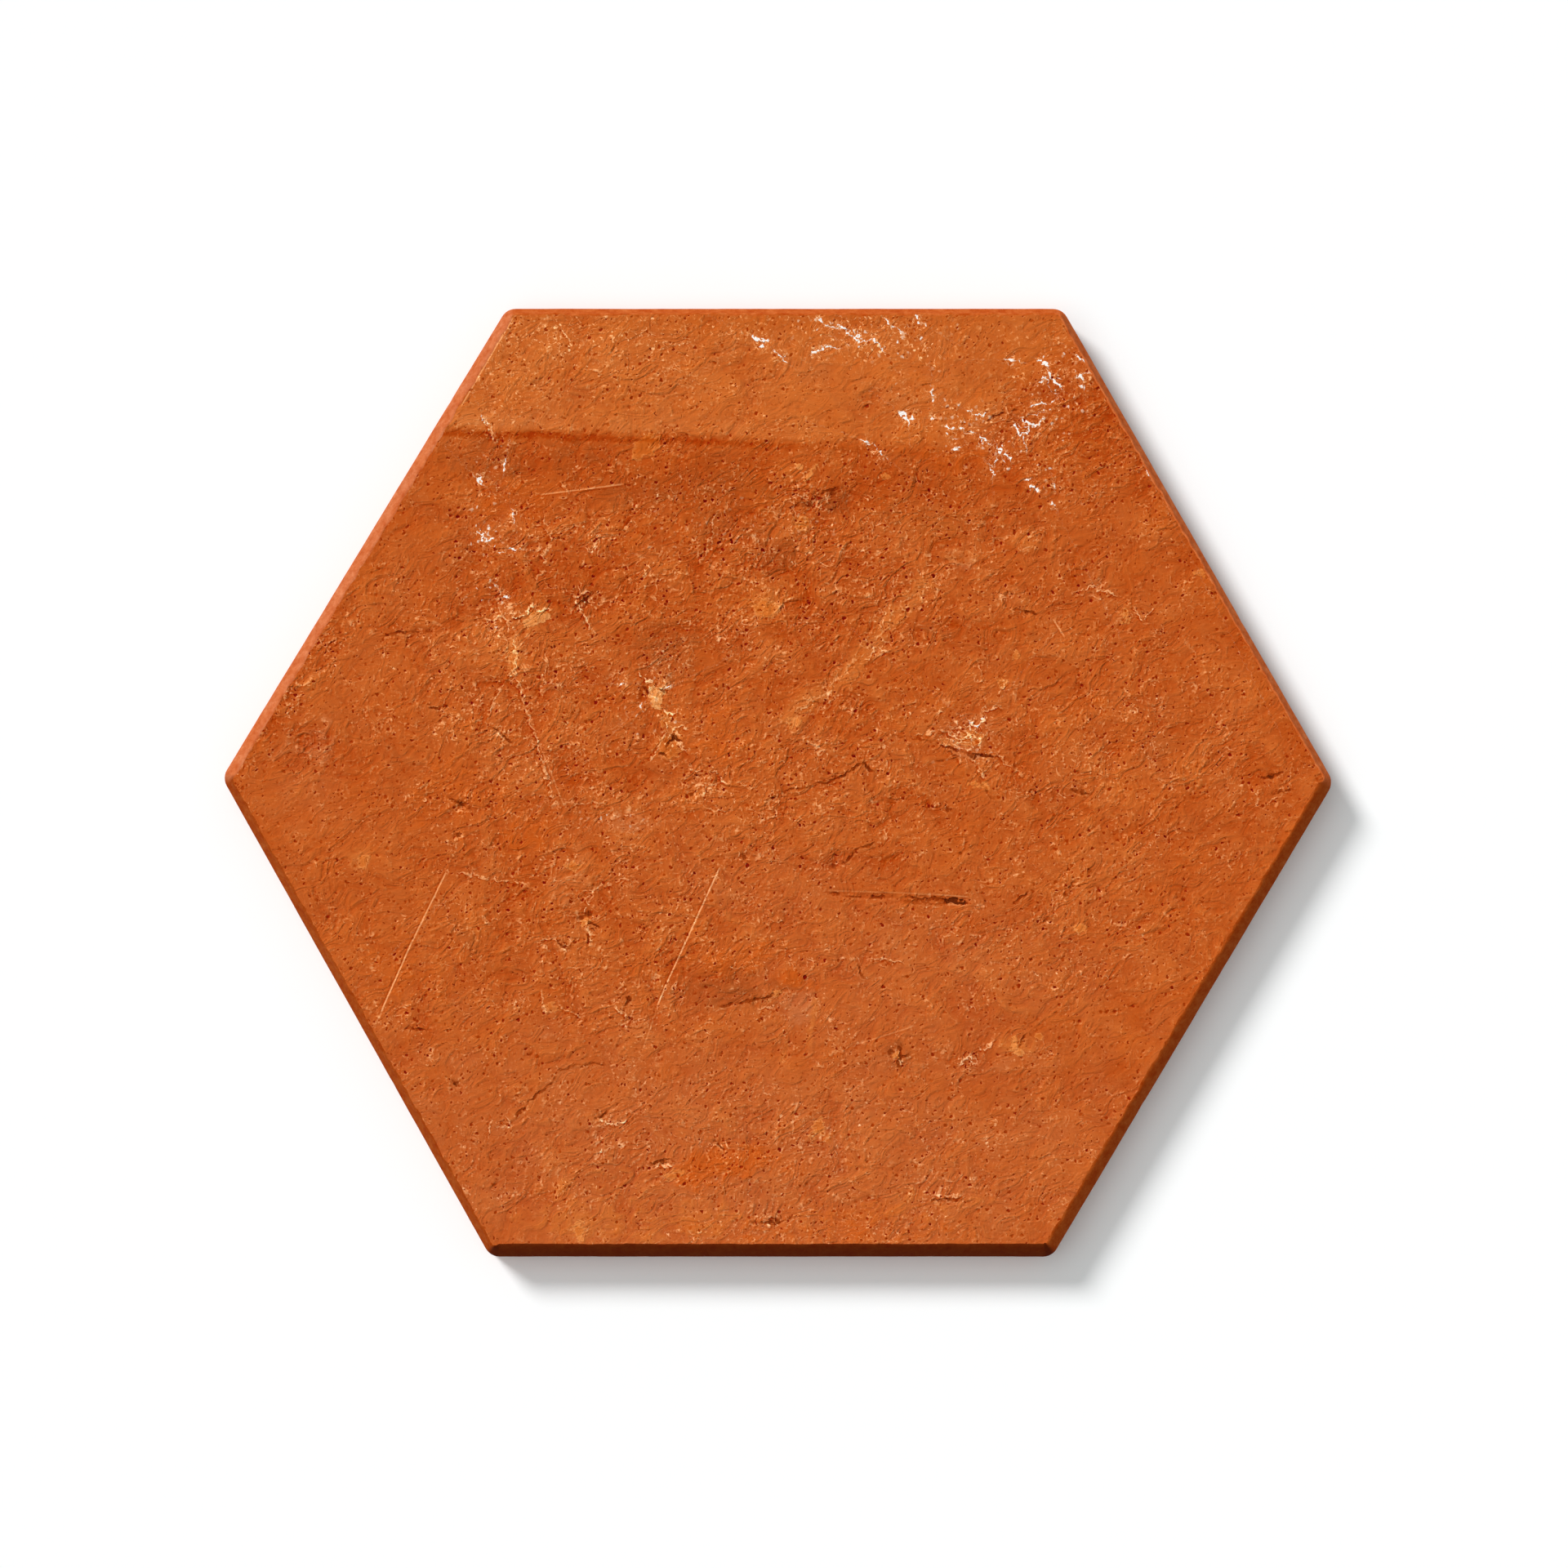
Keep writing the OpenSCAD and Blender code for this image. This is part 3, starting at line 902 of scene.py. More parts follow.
def tile_masks(x, y, outward, depth):
    """The masks that the clays read, each with a value for every point."""
    masks = {
        "band": band_edge(x, y),
        "ledge": ledge_strength(x),
        "gouge": gouge_cover(x, y),
        # Painted highlight, painted light and painted shade of the bevels, by the side that each
        # faces.
        "dust": by_side(outward, PAINTED_HIGHLIGHT_SIDES),
        "pale": by_side(outward, PAINTED_LIGHT_SIDES),
        "burned": by_side(outward, PAINTED_SHADE_SIDES),
        "depth": depth,
    }
    for name, patches, seed, ragged in (
        ("ochre", OCHRE_PATCHES, 80, 0.5),
        ("umber", UMBER_PATCHES, 82, 0.5),
        ("rust", RUST_PATCHES, 84, 0.5),
        ("ash", ASH_PATCHES, 86, 0.5),
        ("haze", HAZE_PATCHES, 85, 0.3),
        ("dim", DIM_PATCHES, 87, 0.3),
        ("coarse", COARSE_PATCHES, 88, 0.5),
        ("torn", TORN_PATCHES, 89, 0.3),
        ("lime_dust", LIME_DUST, 90, 0.5),
        ("lime_spots", LIME_SPOTS, 91, 0.5),
    ):
        masks[name] = patch_cover(x, y, patches, seed, ragged)
    masks["ochre"] = np.maximum(masks["ochre"], trail_cover(x, y, SMEARS))
    masks["flake_outside"], masks["flake_pale"] = flake_marks(x, y)
    for name, marks, reach in (
        ("scratch", SCRATCHES, LINE_REACH),
        ("thread", THREADS, LINE_REACH),
        ("crack", CRACKS, LINE_REACH),
        ("lime", LIME_BLOOMS, LIME_REACH),
    ):
        masks[name + "_side"], masks[name + "_near"] = line_marks(x, y, marks, reach)
    return masks


def build_tile_mesh(shape):
    """The mesh of the tile in metres, with its masks as attributes."""
    outline = Outline(shape, shape.face_rings)
    profile = rim_profile(shape)
    face = Sheet(outline, shape.face_rings, profile[0][0])
    back = Sheet(outline, shape.back_rings, profile[-1][0] + SEAM)
    flat, height, outward, inset = flat_points(outline, profile, face, back, shape.face_rings)
    x, y, z = worn_points(shape, flat, height, outward, inset)
    faces, slots = tile_faces(profile, face, back)
    mesh = bpy.data.meshes.new("Hexagonal clay tile")
    mesh.from_pydata((np.column_stack([x, y, z]) * MM).tolist(), [], faces)
    mesh.polygons.foreach_set("material_index", slots)
    mesh.shade_smooth()
    for name, values in tile_masks(x, y, outward, THICKNESS - height).items():
        layer = mesh.attributes.new(name, "FLOAT", "POINT")
        layer.data.foreach_set("value", values.astype(np.float32))
    mesh.update()
    return mesh


# ---------------------------------------------------------------------------------------------
# Node trees


# Where a colour mix has its factor, its two colours and its result.
MIX_FACTOR = 0
MIX_BELOW = 6
MIX_ABOVE = 7
MIX_RESULT = 2


class Graph:
    """A node tree that is filled in from left to right.

    Each value given to a method is a number or the socket of an earlier node.
    """

    def __init__(self, tree):
        self.tree = tree

    def node(self, kind, inputs=None, **settings):
        """A new node with its settings, then its inputs."""
        made = self.tree.nodes.new(kind)
        for name, value in settings.items():
            setattr(made, name, value)
        for name, value in (inputs or {}).items():
            self.feed(made.inputs[name], value)
        return made

    def feed(self, socket, value):
        """Gives an input its value, or joins it to the socket of another node."""
        if isinstance(value, bpy.types.NodeSocket):
            self.tree.links.new(value, socket)
        else:
            socket.default_value = value

    def math(self, operation, *values, clamp=False):
        """One step of arithmetic."""
        made = self.node("ShaderNodeMath", operation=operation, use_clamp=clamp)
        for socket, value in zip(made.inputs, values):
            self.feed(socket, value)
        return made.outputs[0]

    def times(self, value, factor, clamp=False):
        return self.math("MULTIPLY", value, factor, clamp=clamp)

    def plus(self, value, more):
        return self.math("ADD", value, more)

    def minus(self, value, less, clamp=False):
        return self.math("SUBTRACT", value, less, clamp=clamp)

    def larger(self, value, other):
        return self.math("MAXIMUM", value, other)

    def times_plus(self, value, factor, more, clamp=False):
        return self.math("MULTIPLY_ADD", value, factor, more, clamp=clamp)

    def total(self, start, *parts):
        """The start with each part's value times its factor added in turn."""
        for value, factor in parts:
            start = self.times_plus(value, factor, start)
        return start

    def vector(self, operation, *values, output=0):
        """One step of arithmetic on places or colours."""
        made = self.node("ShaderNodeVectorMath", operation=operation)
        for socket, value in zip(made.inputs, values):
            self.feed(socket, value)
        return made.outputs[output]

    def scaled(self, vector, factor):
        """A place or a colour times a number."""
        inputs = {0: vector, "Scale": factor}
        return self.node("ShaderNodeVectorMath", inputs, operation="SCALE").outputs[0]

    def ramp(self, value, low, high, start=0.0, end=1.0):
        """A smooth ramp from start at low to end at high."""
        inputs = {
            "Value": value, "From Min": low, "From Max": high, "To Min": start, "To Max": end,
        }
        return self.node("ShaderNodeMapRange", inputs, interpolation_type="SMOOTHSTEP").outputs[0]

    def fade(self, value, low, high):
        """A smooth ramp from 1 at low down to 0 at high."""
        return self.ramp(value, low, high, 1.0, 0.0)

    def mix(self, factor, below, above):
        """One colour laid over another."""
        inputs = {MIX_FACTOR: factor, MIX_BELOW: below, MIX_ABOVE: above}
        return self.node("ShaderNodeMix", inputs, data_type="RGBA").outputs[MIX_RESULT]

    def noise(
        self, vector, size, detail=2.0, roughness=0.5, distortion=0.0, output="Fac", dimensions="3D"
    ):
        """Random hills from 0 to 1 whose broadest are about as far apart as size."""
        inputs = {
            "Vector": vector,
            "Scale": 1 / size,
            "Detail": detail,
            "Roughness": roughness,
            "Distortion": distortion,
        }
        return self.node("ShaderNodeTexNoise", inputs, noise_dimensions=dimensions).outputs[output]

    def flat_noise(self, vector, size, *details, output="Fac"):
        """Noise across the face, the same at every depth."""
        return self.noise(vector, size, *details, output=output, dimensions="2D")

    def gamma(self, colour_now, power):
        """A colour raised to a power."""
        return self.node("ShaderNodeGamma", {"Color": colour_now, "Gamma": power}).outputs[0]

    def mask(self, name):
        """One of the masks of the mesh."""
        return self.node("ShaderNodeAttribute", attribute_name=name).outputs["Fac"]

    def group(self, name, **inputs):
        """The outputs of a shared node group with its own values."""
        tree = bpy.data.node_groups[name]
        return self.node("ShaderNodeGroup", inputs, node_tree=tree).outputs


def new_group(name, inputs, outputs):
    """An empty node group with its sockets: its graph, its inputs and its output node."""
    tree = bpy.data.node_groups.new(name, "ShaderNodeTree")
    for socket, value in inputs.items():
        kind = "NodeSocketFloat"
        if isinstance(value, tuple):
            kind = "NodeSocketVector" if len(value) == 3 else "NodeSocketColor"
        made = tree.interface.new_socket(socket, in_out="INPUT", socket_type=kind)
        made.default_value = value
    for socket in outputs:
        kind = "NodeSocketColor" if socket == "Color" else "NodeSocketFloat"
        tree.interface.new_socket(socket, in_out="OUTPUT", socket_type=kind)
    graph = Graph(tree)
    source = graph.node("NodeGroupInput").outputs
    result = graph.node("NodeGroupOutput").inputs
    return graph, source, result


# Turns linear light into the even steps that an eye sees, and the change that one step makes.
GAMMA = 2.2
STEP_TINT = (0.84, 1.14, 1.1)
WARM_TINT = (0.72, -0.1, -0.69)


def make_shade_group():
    """A colour made paler or darker by even steps, as an eye sees it, then covered by another."""
    grey = (0.5, 0.5, 0.5, 1.0)
    inputs = {
        "Color": grey, "Step": 0.0, "Warmth": 0.0,
        "Deep Color": grey, "Deep": 0.0, "Cover Color": grey, "Cover": 0.0,
    }
    graph, source, result = new_group("Shade", inputs, ["Color"])
    seen = graph.gamma(source["Color"], 1 / GAMMA)
    seen = graph.vector("ADD", seen, graph.scaled(STEP_TINT, source["Step"]))
    seen = graph.vector("ADD", seen, graph.scaled(WARM_TINT, source["Warmth"]))
    seen = graph.vector("MAXIMUM", seen, (0.0, 0.0, 0.0))
    seen = graph.vector("MINIMUM", seen, (1.0, 1.0, 1.0))
    seen = graph.mix(source["Deep"], seen, graph.gamma(source["Deep Color"], 1 / GAMMA))
    seen = graph.mix(source["Cover"], seen, graph.gamma(source["Cover Color"], 1 / GAMMA))
    graph.feed(result["Color"], graph.gamma(seen, GAMMA))


def make_pits_group():
    """Small ragged dots, one to a cell, mostly faint, each with a crescent on its lower right side
    for a painted highlight, where light would catch its wall.
    """
    inputs = {"Position": (0.0, 0.0, 0.0), "Spacing": 2.0, "Radius": 0.4, "Share": 0.7}
    for name, dimensions in (("Pits", "3D"), ("Face pits", "2D")):
        graph, source, result = new_group(name, inputs, ["Mask", "Lip"])
        closeness = graph.math("DIVIDE", 1.0, source["Spacing"])
        wobble = graph.noise(source["Position"], 0.8, 1.0, output="Color", dimensions=dimensions)
        wobble = graph.scaled(graph.vector("SUBTRACT", wobble, (0.5, 0.5, 0.5)), 0.8)
        place = graph.vector("ADD", source["Position"], wobble)
        cells = graph.node(
            "ShaderNodeTexVoronoi", {"Vector": place, "Scale": closeness},
            voronoi_dimensions=dimensions,
        )
        chance = graph.node("ShaderNodeSeparateColor", {"Color": cells.outputs["Color"]}).outputs
        away = graph.times(cells.outputs["Distance"], source["Spacing"])
        present = graph.math("LESS_THAN", chance[0], source["Share"])
        size = graph.times_plus(chance[1], 0.6, 0.45)
        size = graph.times(size, graph.times(source["Radius"], present))
        size = graph.larger(size, 0.0001)
        ratio = graph.math("DIVIDE", away, size)
        strength = graph.math("POWER", chance[2], 2.4)
        graph.feed(result["Mask"], graph.ramp(ratio, 0.4, 1.05, strength, 0.0))
        # The crescent on the lower right of each dot, where the painted highlight goes.
        offset = graph.vector("SUBTRACT", place, cells.outputs["Position"])
        leaning = graph.vector("DOT_PRODUCT", offset, (0.6, -0.8, 0.0), output=1)
        leaning = graph.math("DIVIDE", leaning, graph.larger(away, 0.0001))
        ring = graph.times(graph.ramp(ratio, 0.8, 1.2), graph.fade(ratio, 1.2, 2.0))
        lip = graph.times(ring, graph.ramp(leaning, 0.1, 0.8))
        graph.feed(result["Lip"], graph.times(lip, strength))


def make_burrs_group():
    """Short curling threads, such as the float drags up in wet clay, mostly faint."""
    inputs = {"Position": (0.0, 0.0, 0.0), "Size": 3.0, "Width": 0.03, "Share": 0.4}
    graph, source, result = new_group("Face burrs", inputs, ["Mask"])
    place = graph.scaled(source["Position"], graph.math("DIVIDE", 1.0, source["Size"]))
    hills = graph.flat_noise(place, 1.0, 1.5, 0.5, 0.8)
    line = graph.math("ABSOLUTE", graph.minus(hills, 0.5))
    line = graph.fade(line, 0.0, source["Width"])
    shifted = graph.vector("ADD", place, (31.0, 17.0, 0.0))
    chance = graph.flat_noise(shifted, 0.6, 2.0, 0.6)
    limit = graph.times_plus(source["Share"], -0.4, 0.7)
    excess = graph.times(graph.minus(chance, limit), 4.0, clamp=True)
    graph.feed(result["Mask"], graph.times(line, excess))


def make_chips_group():
    """Ragged hollows where crumbs of clay have come away, with a raised lip round each."""
    inputs = {"Position": (0.0, 0.0, 0.0), "Size": 1.4, "Share": 0.3}
    graph, source, result = new_group("Face chips", inputs, ["Mask", "Lip"])
    place = graph.scaled(source["Position"], graph.math("DIVIDE", 1.0, source["Size"]))
    hills = graph.flat_noise(place, 1.0, 2.0, 0.6, 0.5)
    level = graph.minus(hills, graph.times_plus(source["Share"], 0.3, 0.2))
    graph.feed(result["Mask"], graph.fade(level, -0.05, 0.01))
    lip = graph.times(graph.ramp(level, 0.0, 0.03), graph.fade(level, 0.04, 0.08))
    graph.feed(result["Lip"], lip)


def make_line_group():
    """A wandering line drawn from the side and nearness masks of one kind of mark."""
    inputs = {
        "Position": (0.0, 0.0, 0.0), "Side": 1.0, "Near": 0.0, "Width": 0.3, "Wander": 0.0,
    }
    graph, source, result = new_group("Face line", inputs, ["Mask", "Lip"])
    drift = graph.flat_noise(source["Position"], 1.8, 2.0, 0.6)
    drift = graph.times(graph.minus(drift, 0.5), source["Wander"])
    side = graph.plus(source["Side"], drift)
    ratio = graph.math("DIVIDE", side, source["Width"])
    away = graph.math("ABSOLUTE", ratio)
    line = graph.fade(away, 0.3, 1.0)
    graph.feed(result["Mask"], graph.times(line, source["Near"]))
    # Lip: a band along the right-hand side of the line, where painted shade or a painted highlight
    # goes.
    below = graph.fade(graph.math("ABSOLUTE", graph.plus(ratio, 1.5)), 0.2, 1.0)
    graph.feed(result["Lip"], graph.times(below, source["Near"]))


def make_body_group():
    """The body of the clay: its tone about a half, and its height in millimetres about nought."""
    inputs = {"Position": (0.0, 0.0, 0.0), "Coarseness": 0.5}
    for name, dimensions in (("Clay body", "3D"), ("Face clay body", "2D")):
        outputs = ["Tone", "Height", "Mottle", "Wrinkle", "Scales"]
        graph, source, result = new_group(name, inputs, outputs)
        drawn = graph.node(
            "ShaderNodeVectorRotate", {"Vector": source["Position"], "Angle": math.radians(-24)},
            rotation_type="Z_AXIS",
        ).outputs[0]
        drawn = graph.vector("MULTIPLY", drawn, (0.65, 1.0, 1.0))
        mottle = graph.noise(source["Position"], 12.0, 4.0, 0.65, 0.8, dimensions=dimensions)
        wrinkle = graph.noise(drawn, 3.4, 2.0, 0.6, 1.6, dimensions=dimensions)
        crumb = graph.noise(source["Position"], 1.1, 1.0, 0.5, 0.5, dimensions=dimensions)
        mottle = graph.minus(mottle, 0.5)
        wrinkle = graph.minus(wrinkle, 0.5)
        rough = graph.times_plus(source["Coarseness"], 0.7, 0.6)
        crumb = graph.times(graph.minus(crumb, 0.5), rough)
        tone = graph.total(graph.times(mottle, 1.35), (wrinkle, 0.95), (crumb, 0.2))
        graph.feed(result["Tone"], graph.times_plus(tone, rough, 0.5))
        height = graph.total(mottle, (wrinkle, 0.6), (crumb, 0.05))
        graph.feed(result["Height"], graph.times(height, rough))
        flattened = graph.vector("MULTIPLY", source["Position"], (0.8, 1.25, 1.0))
        hills = graph.noise(flattened, 4.6, 2.0, 0.6, 1.6, dimensions=dimensions)
        level = graph.math("FRACT", graph.times(hills, 3.6))
        scales = graph.times(graph.ramp(level, 0.0, 0.8), graph.fade(level, 0.88, 1.0))
        clear = graph.noise(source["Position"], 8.0, 2.0, 0.6, dimensions=dimensions)
        clear = graph.ramp(clear, 0.4, 0.64)
        scales = graph.times(scales, graph.times(clear, rough))
        graph.feed(result["Scales"], scales)
        graph.feed(result["Mottle"], mottle)
        graph.feed(result["Wrinkle"], wrinkle)


def dot_layer(graph, place, shift, spacing, radius, share):
    """One layer of dots on the face, shifted so that it differs from the other layers."""
    place = graph.vector("ADD", place, shift)
    return graph.group("Face pits", Position=place, Spacing=spacing, Radius=radius, Share=share)


def lime_lumps(graph, source, drift, shift, swell):
    """How far outside the lumps of lime and the lace about them each place lies."""
    away = graph.math("ABSOLUTE", graph.plus(source["Side"], graph.times(shift, 1.7)))
    swell = graph.times_plus(swell, 4.4, -1.6)
    width = graph.times(source["Near"], graph.larger(swell, 0.0))
    lumps = graph.minus(away, graph.times(width, 0.72))

    bent = graph.vector("SUBTRACT", drift, (0.5, 0.5, 0.5))
    bent = graph.vector("ADD", source["Position"], graph.scaled(bent, 1.3))
    cells = graph.node(
        "ShaderNodeTexVoronoi", {"Vector": bent, "Scale": 1 / LACE_SPACING},
        voronoi_dimensions="2D", feature="DISTANCE_TO_EDGE",
    )
    wall = graph.times(cells.outputs["Distance"], LACE_SPACING)
    presence = graph.flat_noise(source["Position"], 2.4, 2.0, 0.6)
    presence = graph.times_plus(presence, 5.0, -2.75, clamp=True)
    reach = graph.times(source["Near"], presence)
    lace = graph.times_plus(reach, -0.75, graph.plus(wall, 0.13))
    return graph.math("MINIMUM", lumps, lace)


def lime_threads(graph, source, chance):
    """Fine pale threads near the lime and in its dust."""
    hills = graph.flat_noise(source["Position"], 1.9, 1.0, 0.5, 1.2)
    ridge = graph.math("ABSOLUTE", graph.minus(hills, 0.5))
    threads = graph.fade(ridge, 0.0, 0.05)
    threads = graph.times(threads, graph.ramp(chance, 0.48, 0.62))
    spread = graph.larger(graph.ramp(source["Near"], 0.05, 0.3), source["Dust"])
    return graph.times(threads, spread)


def make_bloom_group():
    """Ragged lumps of lime along lines, with fine pale threads and crumbs about them.

    Near is half the width of the lumps in millimetres, and Dust is the share of loose crumbs.
    """
    inputs = {"Position": (0.0, 0.0, 0.0), "Side": 1.0, "Near": 0.0, "Dust": 0.0, "Spots": 0.0}
    graph, source, result = new_group("Lime bloom", inputs, ["Mask", "Crumbs"])
    drift = graph.flat_noise(source["Position"], 1.1, 2.0, 0.6, output="Color")
    parts = graph.node("ShaderNodeSeparateColor", {"Color": drift}).outputs
    outside = lime_lumps(graph, source, drift, graph.minus(parts[0], 0.5), parts[1])
    spots = dot_layer(graph, source["Position"], (9, 17, 0), 1.3, 0.48, 0.4)["Mask"]
    spots = graph.times(spots, graph.times(source["Spots"], 1.6), clamp=True)
    lumps = graph.fade(outside, -0.1, 0.06)
    graph.feed(result["Mask"], graph.larger(lumps, spots))

    halo = graph.fade(outside, -0.1, 0.3)
    halo = graph.times(halo, graph.ramp(source["Near"], 0.02, 0.12))
    dots = dot_layer(graph, source["Position"], (0, 0, 0), 1.4, 0.34, 0.6)["Mask"]
    dots = graph.times(dots, graph.times(source["Dust"], 2.0), clamp=True)
    crumbs = graph.larger(lime_threads(graph, source, parts[2]), dots)
    graph.feed(result["Crumbs"], graph.larger(crumbs, graph.times(halo, 0.45)))


def clay_material(name):
    """A new material: its graph, its shader and the place on the surface in millimetres."""
    material = bpy.data.materials.new(name)
    material.use_nodes = True
    graph = Graph(material.node_tree)
    shader = material.node_tree.nodes["Principled BSDF"]
    place = graph.node("ShaderNodeTexCoord").outputs["Object"]
    place = graph.scaled(place, 1 / MM)
    return material, graph, shader, place


def opaque(value):
    """A colour setting with full alpha."""
    return (*value, 1.0)


def line_mark(graph, place, name, width, wander):
    """One kind of line on the face: its mask and its lip."""
    return graph.group(
        "Face line",
        Position=place,
        Side=graph.mask(name + "_side"),
        Near=graph.mask(name + "_near"),
        Width=width,
        Wander=wander,
    )


def finish_clay(graph, shader, colour_now, height, roughness):
    """Joins the colour, the height in millimetres and the roughness to the shader."""
    bump = graph.node("ShaderNodeBump", {"Strength": 1.0, "Distance": MM, "Height": height})
    graph.feed(shader.inputs["Base Color"], colour_now)
    graph.feed(shader.inputs["Roughness"], roughness)
    graph.feed(shader.inputs["Normal"], bump.outputs["Normal"])
    shader.inputs["Specular IOR Level"].default_value = 0.05


def face_colours(graph, finish, body, band):
    """The colours of the clay itself: its tone, the far band, and the burned patches."""
    colour_now = graph.mix(body["Tone"], opaque(finish.red_clay), opaque(finish.orange_clay))
    band_tone = graph.times(band, graph.times_plus(body["Tone"], 0.7, 0.2))
    colour_now = graph.mix(band_tone, colour_now, opaque(finish.ochre))
    haze = graph.times(graph.mask("haze"), 0.17)
    colour_now = graph.mix(haze, colour_now, opaque(finish.ash))
    breakup = graph.times_plus(body["Wrinkle"], 1.6, body["Mottle"])
    for name, share in (("rust", 0.7), ("umber", 0.45), ("ash", 0.3), ("ochre", 0.7)):
        cover = graph.mask(name)
        edge = graph.times(breakup, graph.ramp(cover, 0.0, 0.25))
        broken = graph.plus(cover, edge)
        broken = graph.times(graph.ramp(broken, 0.1, 0.9), share)
        colour_now = graph.mix(broken, colour_now, opaque(getattr(finish, name)))
    return colour_now


def far_band(graph, uneven, ledge):
    """How fully each place lies on the far band, whose end is sharp where the ledge is clear."""
    blur = graph.times_plus(ledge, -2.5, 3.0)
    edge = graph.times_plus(uneven, 1.6, graph.minus(graph.mask("band"), 0.3))
    return graph.ramp(graph.math("DIVIDE", edge, blur), -1.0, 1.0)


def ledge_steps(graph, uneven):
    """The lit strip on top of the ledge and the shade at its foot, as steps."""
    distance = graph.mask("band")
    lit = graph.times(graph.ramp(distance, 0.4, 1.4), graph.ramp(distance, 6.0, 1.8))
    foot = graph.plus(graph.times_plus(uneven, 2.0, distance), 0.7)
    foot = graph.fade(graph.math("ABSOLUTE", foot), 0.1, 1.1)
    return graph.total(graph.times(foot, -0.08), (lit, 0.035))


def with_flakes(graph, finish, uneven, colour_now):
    """The colour with its yellow flakes, and the flakes, their rims and their paleness."""
    edge = graph.times_plus(uneven, 2.6, graph.mask("flake_outside"))
    flake = graph.fade(edge, -0.12, 0.12)
    rim = graph.times(flake, graph.ramp(edge, -0.7, -0.1))
    pale = graph.times(flake, graph.mask("flake_pale"))
    yellow = graph.mix(graph.ramp(pale, 0.4, 0.85), opaque(finish.amber), opaque(finish.flake))
    colour_now = graph.mix(graph.times(pale, 0.9), colour_now, yellow)
    return colour_now, flake, rim, pale


def face_vigour(graph, place, coarse, torn, pale):
    """How strongly the fine marks show from place to place."""
    clusters = graph.minus(graph.flat_noise(place, 9.0, 2.0, 0.6), 0.5)
    vigour = graph.total(0.4, (coarse, 0.6), (torn, 0.4), (clusters, 1.1), (pale, -0.6))
    return graph.larger(vigour, 0.2)


def face_dots(graph, place, finish):
    """The pits of the face with the crescents of painted highlight on their lit sides, and its pale
    grains.
    """
    spacing = finish.pit_spacing / MM
    radius = finish.pit_radius / MM
    pits = dot_layer(graph, place, (0, 0, 0), spacing, radius, 0.9)
    pin_holes = dot_layer(graph, place, (13, 7, 0), spacing * 0.7, radius * 0.65, 0.9)
    specks = dot_layer(graph, place, (5, 29, 0), spacing, radius * 0.65, 0.34)
    grains = dot_layer(graph, place, (47, 3, 0), spacing * 0.7, radius * 0.55, 0.26)
    hollow = graph.larger(pits["Mask"], pin_holes["Mask"])
    lip = graph.larger(pits["Lip"], pin_holes["Lip"])
    grain = graph.larger(specks["Mask"], grains["Mask"])
    return hollow, lip, grain


def burr_cover(graph, place, share):
    """Broad and fine burrs together."""
    broad = graph.group("Face burrs", Position=place, Size=3.0, Width=0.055, Share=share)["Mask"]
    fine = graph.group("Face burrs", Position=place, Size=1.5, Width=0.10, Share=share)["Mask"]
    return graph.larger(broad, graph.times(fine, 0.8))


def thread_marks(graph, place):
    """Broken threads of pale clay, the step that they make, and the shade below them."""
    broken = graph.ramp(graph.flat_noise(place, 1.2, 2.0, 0.6), 0.35, 0.55)
    threads = line_mark(graph, place, "thread", 0.32, 2.6)
    step = graph.times_plus(graph.mask("thread_near"), 0.24, 0.07)
    return graph.times(threads["Mask"], broken), step, graph.times(threads["Lip"], broken)


def crack_marks(graph, place):
    """Cracks that open and close along their length, and the painted highlights below them."""
    crack = line_mark(graph, place, "crack", 0.36, 1.4)
    opened = graph.ramp(graph.flat_noise(place, 2.6, 2.0, 0.6), 0.36, 0.58, 0.15, 1.0)
    forced = graph.times_plus(graph.mask("crack_near"), 2.5, -2.0)
    opened = graph.larger(opened, forced)
    return graph.times(crack["Mask"], opened), graph.times(crack["Lip"], opened)


def lime_bloom(graph, place):
    """The lime on the face: its mask and its crumbs."""
    return graph.group(
        "Lime bloom",
        Position=place,
        Side=graph.mask("lime_side"),
        Near=graph.mask("lime_near"),
        Dust=graph.mask("lime_dust"),
        Spots=graph.mask("lime_spots"),
    )


def face_marks(graph, finish, place, uneven, vigour, torn):
    """The masks of the fine marks of the face."""
    marks = SimpleNamespace()
    marks.hollow, marks.lip, marks.grain = face_dots(graph, place, finish)
    share = graph.times_plus(vigour, 0.3, 0.25)
    marks.burrs = burr_cover(graph, place, share)
    # Painted shadow: the clay is darkened beside each burr, on its side away from the light.
    lee_place = graph.vector("ADD", place, LEE_SHIFT)
    marks.lee = graph.minus(burr_cover(graph, lee_place, share), marks.burrs, clamp=True)
    chips = graph.group("Face chips", Position=place, Size=1.5, Share=graph.times(torn, 0.6))
    marks.chipped = graph.times(chips["Mask"], torn)
    marks.chip_lip = graph.times(chips["Lip"], torn)
    marks.gouge = graph.ramp(graph.times_plus(uneven, 1.2, graph.mask("gouge")), 0.45, 0.75)
    marks.scratch = line_mark(graph, place, "scratch", 0.24, 0.1)
    marks.thread, marks.thread_step, marks.thread_lee = thread_marks(graph, place)
    marks.split, marks.split_lip = crack_marks(graph, place)
    marks.lime = lime_bloom(graph, place)
    return marks


